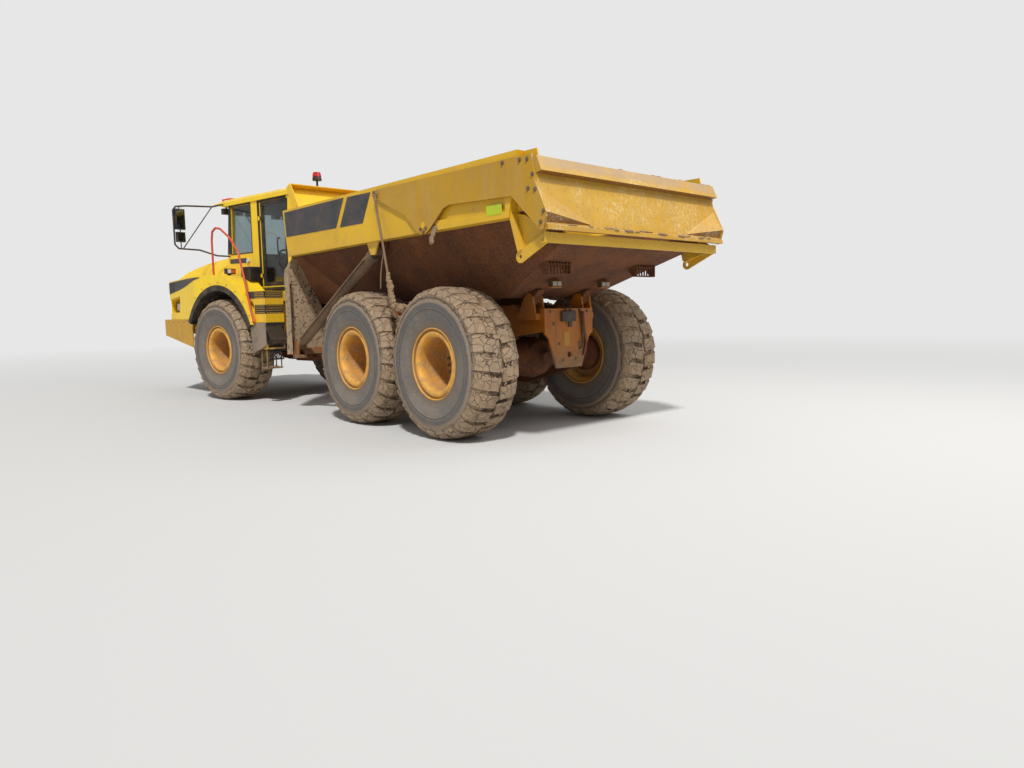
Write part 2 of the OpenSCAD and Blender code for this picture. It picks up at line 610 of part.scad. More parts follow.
// Hitch: the roll tube in the rear frame's housing, and the vertical barrel of the steering hinge
hinge_r = 115;
hinge_low = 640;
hinge_high = 1240;
steer_eye = [-300, 420];
steer_foot = [980, 470];
steer_z = 800;
steer_eye_half = 30;
module from_hinge() { translate([hinge_x, 0, 0]) children(); }
module hitch() rear() color(yellow) {
    difference() {
        union() {
            bar_x([roll_x - 420, 0, roll_z], 120, 430);
            bar_x([roll_x + run, 0, roll_z], roll_r, 60);
            block([roll_x + 60, -150, hinge_low + 90], [hinge_x, 150, hinge_high - 90]);
            from_hinge() translate([0, 0, hinge_low]) cylinder(h = hinge_high - hinge_low,
                r = hinge_r + 35);
            // Arms for the steering cylinders: an upper and a lower plate on each side
            for (z = [steer_z - steer_eye_half - side_gap - 22, steer_z + steer_eye_half + side_gap])
                from_hinge() translate([0, 0, z]) linear_extrude(22) polygon([
                    [steer_eye.x - 60, steer_eye.y + 30], [steer_eye.x + 10, steer_eye.y + 60],
                    [steer_eye.x + 60, steer_eye.y + 10], [-90, 120], [-90, -120],
                    [steer_eye.x + 60, -steer_eye.y - 10], [steer_eye.x + 10, -steer_eye.y - 60],
                    [steer_eye.x - 60, -steer_eye.y - 30], [steer_eye.x - 90, -120],
                    [steer_eye.x - 90, 120]]);
        }
        from_hinge() translate([0, 0, hinge_low - 1]) cylinder(h = hinge_high - hinge_low + 2,
            r = 60 + run);
    }
}

// Front frame: two rails over the axle, the hinge's ears and the sockets of the steering cylinders
frame_in = 280;
frame_out = 340;
frame_low = 1075;
frame_high = 1300;
frame_rear = 190;
frame_front = 3500;
strut_y = 430;
module front_frame() front() color(mud) {
    difference() {
        union() {
            sides() side_plate(frame_in, frame_out - frame_in) polygon([
                [frame_rear, hinge_low - 50], [frame_rear, frame_high], [frame_front, frame_high - 40],
                [frame_front, 1000], [1800, 1000], [1650, frame_low], [800, frame_low],
                [640, hinge_low - 50]]);
            block([frame_rear, -frame_out, hinge_low - 50], [frame_rear + 40, frame_out, frame_high]);
        }
        // Windows that the steering cylinders swing through at full lock
        sides() block([frame_rear - 1, 140, steer_z - 90], [760, frame_out + 1, steer_z + 90]);
    }
    for (x = [350, 1650, 2300, 3400]) block([x, -frame_in, frame_low + 30],
        [x + 90, frame_in, frame_low + 120]);
    // Ears of the steering hinge with their pin
    for (z = [hinge_low - 50, hinge_high + run]) translate([0, 0, z]) linear_extrude(50 - run)
        union() {
            circle(r = hinge_r + 25);
            translate([0, -hinge_r - 25]) square([frame_rear + 20, 2 * hinge_r + 50]);
        }
    translate([0, 0, hinge_low - 60]) cylinder(h = hinge_high - hinge_low + 130, r = 60);
    // Sockets of the steering cylinders: an upper and a lower plate beside each rail
    sides() for (z = [steer_z - socket_half - 20, steer_z + socket_half])
        block([steer_foot.x - 60, frame_in, z], [steer_foot.x + 70, steer_foot.y + 60, z + 20]);
    sides() block([steer_foot.x - 60, frame_in, steer_z - socket_half - 20],
        [steer_foot.x + 70, frame_out, frame_low + 20]);
    // Towers of the front suspension struts
    sides() block([front_axle_x - 70, frame_in, frame_high - 60],
        [front_axle_x + 70, strut_y + 70, frame_high]);
    // Cab mounts: an arm from the rail with a pad on its end
    sides() for (x = [620, 1330]) {
        block([x, frame_in, frame_high - 30], [x + 100, cab_half - 60, frame_high + 30]);
        block([x, cab_half - 160, frame_high], [x + 100, cab_half - 60, cab_floor - 260 - run]);
    }
    // Hood hinge: a cross bar with an ear and a pin on each side
    block([3380, -560, frame_high - 60], [3460, 560, frame_high - 20]);
    sides() {
        for (y = [hood_ear_y - 40, hood_ear_y + 26]) side_plate(y, 14) union() {
            translate([hood_hinge.x, hood_hinge.y]) circle(r = 22);
            polygon([[hood_hinge.x - 22, hood_hinge.y], [hood_hinge.x - 30, frame_high - 40],
                [hood_hinge.x + 30, frame_high - 40], [hood_hinge.x + 22, hood_hinge.y]]);
        }
        bar_y([hood_hinge.x, hood_ear_y, hood_hinge.y], 12, 80);
    }
}
socket_half = 70;

// Steering cylinders: barrel on a ball in the front frame's socket, rod to the hitch's arm
steer_barrel_r = 48;
steer_rod_r = 25;
function turned(p, a) = [p.x * cos(a) - p.y * sin(a), p.x * sin(a) + p.y * cos(a)];
function steer_far(side) = turned([steer_eye.x, side * steer_eye.y], -steer_parked);
module steer_axis(side) {
    e = steer_far(side);
    aim([steer_foot.x, side * steer_foot.y, steer_z], [e.x, e.y, steer_z], [0, 0, 1]) children();
}
function steer_len(side) = norm(steer_far(side) - [steer_foot.x, side * steer_foot.y]);
steer_barrel_len = 760;
steer_rod_len = 850;
module steer_barrel() {
    difference() {
        union() {
            translate([0, 0, 50]) cylinder(h = steer_barrel_len - 50, r = steer_barrel_r);
            translate([0, 0, steer_barrel_len - 45]) cylinder(h = 45, r = steer_barrel_r + 7);
        }
        translate([0, 0, 90]) cylinder(h = steer_barrel_len, r = steer_rod_r + run);
    }
    rotate([90, 0, 0]) cylinder(h = 2 * (socket_half - run), r = 60, center = true);
}
module steer_rod(len) {
    translate([0, 0, len - steer_rod_len]) cylinder(h = steer_rod_len - 20, r = steer_rod_r);
    translate([0, 0, len]) rotate([90, 0, 0]) cylinder(h = 2 * steer_eye_half, r = 48, center = true);
}
module steer_barrel_left() front() color(steel) steer_axis(1) steer_barrel();
module steer_barrel_right() front() color(steel) steer_axis(-1) steer_barrel();
module steer_rod_left() front() color(steel) steer_axis(1) steer_rod(steer_len(1));
module steer_rod_right() front() color(steel) steer_axis(-1) steer_rod(steer_len(-1));

// Front axle with its struts and the arms that locate it
module front_axle() front() color(mud) {
    translate([front_axle_x, 0, wheel_z]) axle_housing();
    sides() {
        translate([front_axle_x, strut_y,
            wheel_z + 60]) cylinder(h = frame_high - 60 - run - wheel_z - 60, r = 62);
        side_plate(150, 60) polygon([[front_axle_x + 150, wheel_z + 40], [2100, 960], [2100, 860],
            [front_axle_x + 150, wheel_z - 60]]);
    }
    block([2080, -frame_in, 860], [2180, frame_in, 1000 - run]);
}

// Gearbox and drop box between the cab and the hinge, with the shaft forward to the axle
module driveline() front() color(mud) {
    block([480, -240, 700], [690, 240, 1060]);
    block([480, -270, 1060], [880, 270, 1420]);
    block([880, -270, 1100], [1450, 270, 1420]);
    bar_x([690, 0, wheel_z], 50, front_axle_x - 300 - run - 690);
    bar_x([600, 0, 1240], 190, 1000);
}

// Engine as one plain block between the rails
module engine() front() color(dark) block([1760, -265, 1195 + run], [2950, 265, 1900]);

// Bumper: a folded shell, swept back at its corners and rising to the front
bump_top = 1300;
bump_t = 14;
bump_rear = 2180;
bump_low = 821;
module bumper_plan(t, open) polygon([
    [bump_rear - open, -1300 + t], [3250 - t * 0.2, -1250 + t], [nose_x - t, -nose_half + t * 0.4],
    [nose_x - t, nose_half - t * 0.4], [3250 - t * 0.2, 1250 - t], [bump_rear - open, 1300 - t]]);
module bumper() front() color(yellow) {
    difference() {
        intersection() {
            linear_extrude(bump_top) bumper_plan(0, 0);
            side_plate(-1400, 2800) polygon([[bump_rear, bump_low], [3200, 1010], [nose_x, 1010],
                [nose_x, bump_top], [bump_rear, bump_top]]);
        }
        translate([0, 0, 700]) linear_extrude(bump_top - bump_t - 700) bumper_plan(bump_t, 5);
        block([bump_rear - 5, -hood_half, 1200], [3560, hood_half, bump_top + 10]);
    }
    // Beams to the frame, and the tow eye
    sides() block([frame_front + run, 120, 1050], [nose_x - 10, 180, 1200]);
    block([frame_front + run, -frame_out, 1040], [frame_front + 40, frame_out, 1220]);
    difference() {
        side_plate(-30, 60) polygon([[3700, 1060], [3700, 1160], [nose_x - 5, 1200], [nose_x - 5, 1040]]);
        bar_y([nose_x - 70, 0, 1115], 30, 100);
    }
}

// Front fenders: an open sheet shell over each wheel that runs on to the nose, with the lamp recess
// cut in it
arch_r = 1030;
nose_top = 1955;
module fender_side(t, open) difference() {
    polygon([[192 + t, 1209 - open], [245 + t, 1360], [430 + t, 1640 - t], [640, 1783 - t], [800, 1905 - t],
        [1010, 1985 - t], [1500, 2012 - t], [2200, 2000 - t], [3290 - t, nose_top - t],
        [3345 - t, 1750], [3330 - t, bump_top + run - open], [1900, bump_top + run - open],
        [1700, 1180 - open]]);
    translate([front_axle_x, wheel_z]) circle(r = arch_r);
}
module fender_plan(t, open) polygon([[100, hood_half + 5 - open], [100, fender_half - t],
    [1900, fender_half - t], [2300, 1315 - t], [3130 - t, 1190 - t], [3240 - t, 1110 - t],
    [3240 - t, hood_half + 5 - open]]);
module fender_form(t, open) intersection() {
    side_plate(800, 700) fender_side(t, open);
    translate([0, 0, 1000]) linear_extrude(1200) fender_plan(t, open);
}
module lamp_recess() polygon([[2600, 1706], [3205, 1643], [3205, 1391], [2670, 1410]]);
module fenders() front() color(yellow) sides() {
    difference() {
        fender_form(0, 0);
        fender_form(sheet, 30);
        side_plate(1090, 400) lamp_recess();
    }
    // Box behind the lamp recess
    difference() {
        intersection() {
            side_plate(1000, 300) lamp_recess();
            fender_form(sheet - 1, 0);
        }
        side_plate(1012, 400) recess_inside();
    }
    // Bracket from the frame to the fender
    block([2095, frame_out + run, 1150], [2155, 1180, 1230]);
    block([2095, 1150, 1150], [2155, 1180, 1996]);
}
module recess_inside() polygon([[2622, 1690], [3191, 1630], [3191, 1405], [2686, 1423]]);

// Rubber edges of the wheel arches
module arch_edges() front() color(dark) sides() intersection() {
    side_plate(1190, 200) difference() {
        translate([front_axle_x, wheel_z]) circle(r = arch_r - run);
        translate([front_axle_x, wheel_z]) circle(r = arch_r - 85);
    }
    side_plate(1190, 200) polygon([[front_axle_x, wheel_z], [150, 1230], [150, 2000], [2300, 2000],
        [2250, 1310]]);
}

// Hood: a sheet shell hinged at the nose, rising to the cab, with the grille's opening in its front
hood_rear = 1712;
hood_low = 1720;
hood_hinge = [3422, 1345];
hood_ear_y = 500;
module hood_side(t, open) polygon([[hood_rear - open, hood_low - open], [hood_rear - open, 2350 - t],
    [2500, 2265 - t], [3100, 2130 - t], [3330 - t, 2030 - t], [3420 - t, 1900], [3440 - t, 1420],
    [3430 - t, 1372 - open], [3370, 1372 - open], [3370, 1700], [3300, hood_low - open]]);
module hood_section(t) polygon([[-hood_half + t, 1300], [-hood_half + t, 2000],
    [-hood_half + 60 + t * 0.6, 2180],
    [-hood_half + 220, 2400 - t], [hood_half - 220, 2400 - t], [hood_half - 60 - t * 0.6, 2180],
    [hood_half - t, 2000], [hood_half - t, 1300]]);
module hood_form(t, open) intersection() {
    side_plate(-1000, 2000) hood_side(t, open);
    cross_plate(1500, 2100) hood_section(t);
}
module hood() front() color(yellow) {
    difference() {
        hood_form(0, 0);
        hood_form(sheet, 10);
        cross_plate(3380, 100) polygon([[-640, 1470], [640, 1470], [600, 1880], [-600, 1880]]);
    }
    // Hinge leaves at the foot of the nose
    sides() difference() {
        side_plate(hood_ear_y - 20, 40) union() {
            translate(hood_hinge) circle(r = 22);
            polygon([[hood_hinge.x - 22, hood_hinge.y], [hood_hinge.x - 22, 1454],
                [hood_hinge.x + 14, 1454], [hood_hinge.x + 14, hood_hinge.y]]);
        }
        bar_y([hood_hinge.x, hood_ear_y, hood_hinge.y], 12 + run, 80);
    }
}
// Grille: upright frame with slats behind the hood's opening
module grille() front() color(dark) {
    difference() {
        block([3395, -660, 1455], [3412, 660, 1895]);
        block([3390, -615, 1490], [3420, 615, 1860]);
    }
    for (k = [0:7]) block([3396, -620, 1505 + k * 46], [3411, 620, 1523 + k * 46]);
    for (y = [-320, 0, 320]) block([3393, y - 12, 1480], [3409, y + 12, 1870]);
}

// Cab: posts, rails and lower walls, hollow, with its windows and doorway cut
door_front = 660;
door_rear = -20;
sill_z = 2370;    // lower edge of the side windows
module cab_profile() polygon([[cab_rear, cab_floor - 260], [cab_front - 250, cab_floor - 260],
    [cab_front + 30, cab_floor + 180], [cab_front + 40, 2370], [cab_front - 60, cab_top],
    [cab_rear - 80, cab_top],
    [cab_rear - 40, 2300]]);
module cab() front() color(yellow) difference() {
    union() {
        side_plate(-cab_half, 2 * cab_half) cab_profile();
        // Leaves of the door's hinges
        for (z = [1950, 2850]) block([door_hinge.x + 8 + run, cab_half - 1, z],
            [door_hinge.x + 60, cab_half + 12, z + 60]);
    }
    // Wheel arches
    sides() side_plate(cab_half - 62, 80) translate([front_axle_x, wheel_z]) circle(r = tyre_r + 45);
    // Inside
    side_plate(-cab_half + cab_wall, 2 * (cab_half - cab_wall)) polygon([[cab_rear + 40, cab_floor],
        [cab_front - 200, cab_floor], [cab_front - 50, cab_floor + 200], [cab_front - 40, 2370],
        [cab_front - 125, cab_top + 1], [cab_rear - 10, cab_top + 1], [cab_rear + 30, 2300]]);
    // Windscreen
    block([cab_front - 300, -cab_half + 90, 2390], [cab_front + 200, cab_half - 90, cab_top - 60]);
    // Rear window
    block([cab_rear - 200, -cab_half + 130, 2330], [cab_rear + 120, cab_half - 130, cab_top - 70]);
    // Side windows ahead of the posts
    side_plate(-cab_half - 10, 2 * cab_half + 20) polygon([[960, sill_z], [cab_front - 80, sill_z],
        [cab_front - 110, cab_top - 30], [960, cab_top - 30]]);
    // Window on the right behind the post, and the doorway on the left
    side_plate(-cab_half - 10, 200) polygon([[60, sill_z], [780, sill_z], [780, cab_top - 60],
        [30, cab_top - 60]]);
    side_plate(cab_half - 100, 200) polygon([[door_rear, cab_floor + 20], [door_front + 20, cab_floor + 20],
        [door_front + 20, cab_top - 40], [door_rear - 50, cab_top - 40], [door_rear, 2300]]);
}
module cab_glass() front() color(glass) {
    // Windscreen, leaning back
    side_plate(-cab_half + 90 + run, 2 * (cab_half - 90 - run)) polygon([[cab_front + 10, 2390 + run],
        [cab_front + 10 + pane, 2390 + run], [cab_front - 60, cab_top - 60 - run],
        [cab_front - 68, cab_top - 60 - run]]);
    side_plate(-cab_half + 130 + run, 2 * (cab_half - 130 - run)) polygon([[cab_rear - 10, 2330 + run],
        [cab_rear - 10 + pane, 2330 + run], [cab_rear - 42, cab_top - 70 - run],
        [cab_rear - 50, cab_top - 70 - run]]);
    sides() side_plate(cab_half - 30, pane) polygon([[960 + run, sill_z + run],
        [cab_front - 80 - run, sill_z + run],
        [cab_front - 110 - run, cab_top - 30 - run], [960 + run, cab_top - 30 - run]]);
    side_plate(-cab_half + 22, pane) polygon([[60 + run, sill_z + run], [780 - run, sill_z + run],
        [780 - run, cab_top - 60 - run], [30 + run, cab_top - 60 - run]]);
}
// Roof: a crowned lid with a front visor
beacon = [-70, 290];
function roof_at(x) = cab_top + 100 + 60 * (x - cab_rear + 120) / (1020 - cab_rear);
module cab_roof() front() color(yellow) intersection() {
    side_plate(-1000, 2000) polygon([[cab_rear - 200, cab_top + run], [cab_front + 120, cab_top + run],
        [2010, cab_top + 50], [2020, cab_top + 80], [1700, cab_top + 135], [900, cab_top + 160],
        [cab_rear - 120, cab_top + 100], [cab_rear - 210, cab_top + 50]]);
    cross_plate(-400, 2600) polygon([[-cab_half - 20, cab_top + run], [-cab_half - 20, cab_top + 60],
        [-cab_half + 90, cab_top + 125], [-500, cab_top + 165], [500, cab_top + 165],
        [cab_half - 90, cab_top + 125],
        [cab_half + 20, cab_top + 60], [cab_half + 20, cab_top + run]]);
}

// Door: a frame hinged on the post, with one tall pane
door_gap = 6;
door_hinge = [678, 859];
function door_outline(t) = [[door_rear + door_gap + t, cab_floor + 20 + door_gap + t],
    [door_front + 14 - t, cab_floor + 20 + door_gap + t], [door_front + 14 - t, cab_top - 46 - t],
    [door_rear - 44 + t, cab_top - 46 - t], [door_rear + door_gap + t, 2300]];
module cab_door() front() color(dark) {
    difference() {
        side_plate(cab_half - 40, 40) polygon(door_outline(0));
        side_plate(cab_half - 50, 60) polygon(door_outline(55));
    }
    // Handle and the hinges' leaves
    block([door_rear + 30, cab_half, 2060], [door_rear + 160, cab_half + 22, 2090]);
    for (z = [1950, 2850]) {
        block([door_front - 60, cab_half - 1, z], [door_front + 12, cab_half + 14, z + 60]);
        translate([door_hinge.x, door_hinge.y, z]) cylinder(h = 60, r = 8);
    }
}
module door_glass() front() color(glass) side_plate(cab_half - 26, pane) polygon(door_outline(55 + run));

// Seat, steering column and wheel, and the dash
module cab_interior() front() color(dark) {
    block([250, -120, cab_floor + run], [620, 120, cab_floor + 260]);
    hull() for (p = [[180, 2120],
        [680, 2120]]) for (y = [-190, 190]) translate([p.x, y, p.y]) sphere(r = 60, $fn = 16);
    hull() for (p = [[210, 2230],
        [90, 2780]]) for (y = [-190, 190]) translate([p.x, y, p.y]) sphere(r = 55, $fn = 16);
    block([240, -260, cab_floor + 180], [660, 260, 2130]);
    side_plate(-700, 1400) polygon([[1330, cab_floor + 150], [1380, cab_floor + run],
        [1450, cab_floor + run],
        [1600, cab_floor + 205], [1600, 2340], [1440, 2360], [1250, 2260], [1260, 2180], [1330, 2150]]);
    tube([[1300, 0, 2200], [1130, 0, 2330]], 35);
    translate([1120, 0, 2338]) rotate([0, -37, 0]) {
        rotate_extrude() translate([210, 0]) circle(r = 17, $fn = 24);
        for (a = [60, 180, 300]) rotate([0, 0, a]) rotate([0, 90, 0]) cylinder(h = 205, r = 12);
        cylinder(h = 30, r = 55, center = true);
    }
    block([180, 260, 2010], [700, 400, 2060]);
    block([180, -420, 2010], [700, -270, 2060]);
    sides() block([380, 270, cab_floor + run], [480, 330, 2012]);
}

// Platforms and steps behind the front wheels, the tanks below them, on both sides
step_x = -95;
module step_grating(x, y0, y1, z, n) {
    difference() {
        block([x, y0, z - 22], [x + 190, y1, z]);
        for (k = [0:n - 1]) block([x + 25, y0 + 25 + k * (y1 - y0 - 40) / n, z - 30],
            [x + 165, y0 + 25 + (k + 0.55) * (y1 - y0 - 40) / n, z + 10]);
    }
}
module platforms() front() color(yellow) sides() {
    // Deck beside the cab and its edge
    block([-80, cab_half + 20, 1690], [462, 1330, 1712]);
    block([-80, 1310, 1560], [350, 1330, 1700]);
    block([-100, cab_half + 20, 1560], [-80, 1330, 1712]);
    // Side panel between the fender and the steps
    side_plate(1330, 12) polygon([[70, 1010], [70, 1580], [180, 1580], [300, 1640], [200, 1500],
        [172, 1180]]);
    // Risers under the two upper treads
    for (z = [1523, 1195]) block([step_x + 178, 1036, z - 150], [step_x + 190, 1322, z - 20]);
    // Tank under the deck
    side_plate(frame_out + 60, 640) polygon([[60, 900], [60, 1515], [250, 1515], [290, 1460], [210, 1330],
        [170, 1200], [170, 1100], [240, 960], [200, 900]]);
    block([60, frame_out + 60, 1480], [580, cab_half, 1500]);
    block([100, frame_out + run, 1230], [200, frame_out + 70, 1290]);
    // Steps: treads carried by a side cheek each
    for (z = [1523, 1195, 860]) step_grating(step_x, 1040, 1330, z, 6);
    side_plate(1318, 12) polygon([[step_x, 838], [step_x, 1230], [30, 1230], [120, 1000], [120, 838]]);
    side_plate(1028, 12) polygon([[step_x, 838], [step_x, 1560], [95, 1560], [95, 838]]);
    // Hung bottom step
    for (y = [1060, 1300]) block([-40, y, 560], [-28, y + 14, 850]);
    block([-60, 1060, 540], [120, 1314, 562]);
    for (y = [1060, 1300]) block([100, y, 560], [112, y + 14, 850]);
}

// Rails: one over each fender, and one along the front of the roof
rail_r = 17;
module handrails() front() color(orange) {
    sides() tube([[1390, 1300, 2008], [1390, 1300, 2560], [1360, 1300, 2690], [1260, 1300, 2742],
        [1120, 1300, 2720],
        [850, 1300, 2560], [620, 1306, 2330], [420, 1345, 1900], [245, 1366, 1420], [160, 1374, 1240]],
        rail_r);
    sides() block([150, 1362, 1246], [200, 1386, 1266]);
    tube([[1945, -750, cab_top + 96], [1945, -750, 3310], [1900, -640, 3338], [1900, 640, 3338],
        [1945, 750, 3310],
        [1945, 750, cab_top + 96]], 14);
}

// Mirrors on bent frames beside the hood, each with a tall and a small head
module mirrors() front() color(dark) sides() {
    tube([[1740, cab_half + 20 + run, cab_top + 30], [1740, 900, cab_top + 30], [1865, 1000, 3165],
        [1950, 1400, 3150], [1985, 1560, 3130], [1990, 1605, 3070],
        [1990, 1605, 2520], [1975, 1550, 2455], [1880, 1250, 2440], [1787, 1000, 2353], [1640, 890, 2340],
        [1640, cab_half + run, 2340]], 14);
    tube([[1870, 1010, 3150], [1960, 1480, 2462]], 9);
    block([1940, 1440, 2760], [1990, 1590, 3090]);
    block([1940, 1450, 2560], [1990, 1585, 2720]);
    tube([[1965, 1515, 3140], [1965, 1515, 2455]], 9);
}

// Air cleaner and exhaust behind the cab on the right
module exhaust() front() color(dark) {
    translate([-230, -620, 1500]) cylinder(h = 900, r = 120);
    translate([-230, -620, 2390]) cylinder(h = 60, r = 60);
    tube([[-230, -620, 2400], [-230, -620, 2760], [-262, -620, 2880], [-330, -620, 2930]], 55, 12);
    block([-330, -740, 1480], [60, -420, 1500]);
    block([40, -740, 1300], [60, -420, 1500]);
}

// Lamps: headlamps in their recesses, work lamps under the visor and by the deck, and the beacon
function visor(x) = cab_top + run + (x - cab_front - 120) * (50 - run) / (1890 - cab_front);
module lamps() front() color(dark) {
    sides() {
        block([2860, 1012 + run, 1440], [3160, 1062, 1600]);
        for (y = [260, 480, 700]) {
            block([1895, y - 70, cab_top - 95], [1985, y + 70, cab_top]);
            side_plate(y - 12, 24) polygon([[1930, cab_top - 5], [1950, cab_top - 5],
                [1950, visor(1950) - 2 * run],
                [1930, visor(1930) - 2 * run]]);
        }
        block([1020, 1130, 2010], [1100, 1280, 2095]);
        block([1050, 1190, 1989], [1070, 1220, 2015]);
    }
    translate([beacon.x, beacon.y, roof_at(beacon.x + 16) + run]) cylinder(h = 175, r = 16);
    translate([beacon.x, beacon.y, 3440]) cylinder(h = 20, r = 72);
    translate([beacon.x, beacon.y, 3455]) cylinder(h = 110, r1 = 70, r2 = 52);
}

rear_frame();
rear_axles();
mud_guards();
bed();
bed_guard();
tailgate();
tip_barrel_left();
tip_barrel_right();
tip_rod_left();
tip_rod_right();
gate_ropes();
hitch();
front_frame();
bumper();
engine();
front_axle();
driveline();
hood();
grille();
fenders();
arch_edges();
lamps();
cab();
cab_roof();
cab_glass();
cab_door();
door_glass();
cab_interior();
platforms();
handrails();
mirrors();
exhaust();
steer_barrel_left();
steer_barrel_right();
steer_rod_left();
steer_rod_right();
tyre_front_left();
tyre_front_right();
tyre_mid_left();
tyre_mid_right();
tyre_rear_left();
tyre_rear_right();
rim_front_left();
rim_front_right();
rim_mid_left();
rim_mid_right();
rim_rear_left();
rim_rear_right();
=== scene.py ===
"""Dresses the articulated dump truck: paint, clay, tyres, glass, small fittings, studio and camera."""

from __future__ import annotations

import json
import logging
import math
import random
from collections.abc import Callable, Iterable, Sequence
from dataclasses import dataclass, field
from enum import Enum

import bmesh
import bpy
from mathutils import Matrix, Vector, noise

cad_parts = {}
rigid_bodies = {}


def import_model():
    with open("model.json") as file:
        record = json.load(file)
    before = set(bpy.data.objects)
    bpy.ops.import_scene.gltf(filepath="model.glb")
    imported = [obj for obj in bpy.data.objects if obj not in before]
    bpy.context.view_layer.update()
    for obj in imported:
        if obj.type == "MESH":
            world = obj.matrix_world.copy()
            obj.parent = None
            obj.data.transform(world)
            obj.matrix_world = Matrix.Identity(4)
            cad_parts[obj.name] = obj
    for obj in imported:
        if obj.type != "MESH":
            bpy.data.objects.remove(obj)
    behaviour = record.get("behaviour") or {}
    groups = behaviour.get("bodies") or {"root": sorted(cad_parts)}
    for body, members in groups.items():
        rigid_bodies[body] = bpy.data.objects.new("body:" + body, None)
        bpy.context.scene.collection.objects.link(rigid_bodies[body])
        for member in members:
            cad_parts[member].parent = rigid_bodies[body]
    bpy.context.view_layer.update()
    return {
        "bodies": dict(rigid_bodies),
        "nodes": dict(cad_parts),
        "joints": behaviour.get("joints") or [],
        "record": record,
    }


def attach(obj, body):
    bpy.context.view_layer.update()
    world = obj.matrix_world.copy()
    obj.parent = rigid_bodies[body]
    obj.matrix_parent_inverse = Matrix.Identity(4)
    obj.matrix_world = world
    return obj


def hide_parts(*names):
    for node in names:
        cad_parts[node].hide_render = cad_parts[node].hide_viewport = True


log = logging.getLogger("dump_truck")

Point = tuple[float, float, float]
Colour = tuple[float, float, float]
Socket = bpy.types.NodeSocket
Mesh = bmesh.types.BMesh
Path = Sequence[Sequence[float]]
Outline = tuple[tuple[float, float], ...]

# The row frame's origin, from the first bogie axle and the centreline, in metres
MID_X = 1.8038384
MID_Y = 0.2510567

# The steering hinge, ahead of the first bogie axle, and how far it is turned in the photograph
HINGE_X = 2.965
STEER_PARKED = math.radians(9.0)

# The wheels: how far the front axle is ahead of the hinge, and the bogie's second axle behind its first
FRONT_AXLE_X = 1.210
BOGIE = 1.670
WHEEL_Y = 1.129
WHEEL_Z = 0.808

# Both sides of the truck: the sign of Y there, and the side's name
SIDES = {1.0: "left", -1.0: "right"}


def srgb(r: int, g: int, b: int) -> Colour:
    """Turns an 8-bit colour, as it is seen, into the linear colour that a shader takes."""
    return tuple((v / 255 / 12.92) if v <= 10 else ((v / 255 + 0.055) / 1.055) ** 2.4 for v in (r, g, b))


def rear_point(x: float, y: float, z: float) -> Vector:
    """Turns a place on the rear unit, from the first bogie axle, into the row frame."""
    return Vector((x - MID_X, y - MID_Y, z))


def front_point(x: float, y: float, z: float) -> Vector:
    """Turns a place on the front unit, from the steering hinge, into the row frame."""
    c, s = math.cos(STEER_PARKED), math.sin(STEER_PARKED)
    return rear_point(HINGE_X + x * c - y * s, x * s + y * c, z)


def wheel_places() -> dict[str, tuple[Vector, float]]:
    """Finds where the wheels are.

    Returns:
        Each wheel's centre in the row frame, and how far its axle is turned about the vertical.
    """
    found = {}
    for sign, side in SIDES.items():
        y = sign * WHEEL_Y
        found[f"front_{side}"] = (front_point(FRONT_AXLE_X, y, WHEEL_Z), STEER_PARKED)
        found[f"mid_{side}"] = (rear_point(0.0, y, WHEEL_Z), 0.0)
        found[f"rear_{side}"] = (rear_point(-BOGIE, y, WHEEL_Z), 0.0)
    return found


class Unit(Enum):
    """The half of the truck whose own axes a piece is drawn in."""

    REAR = "rear"
    FRONT = "front"

    def place(self) -> Matrix:
        """Returns the matrix from this unit's axes to the row frame."""
        if self is Unit.REAR:
            return Matrix.Translation((-MID_X, -MID_Y, 0.0))
        return Matrix.Translation((HINGE_X - MID_X, -MID_Y, 0.0)) @ Matrix.Rotation(STEER_PARKED, 4, "Z")


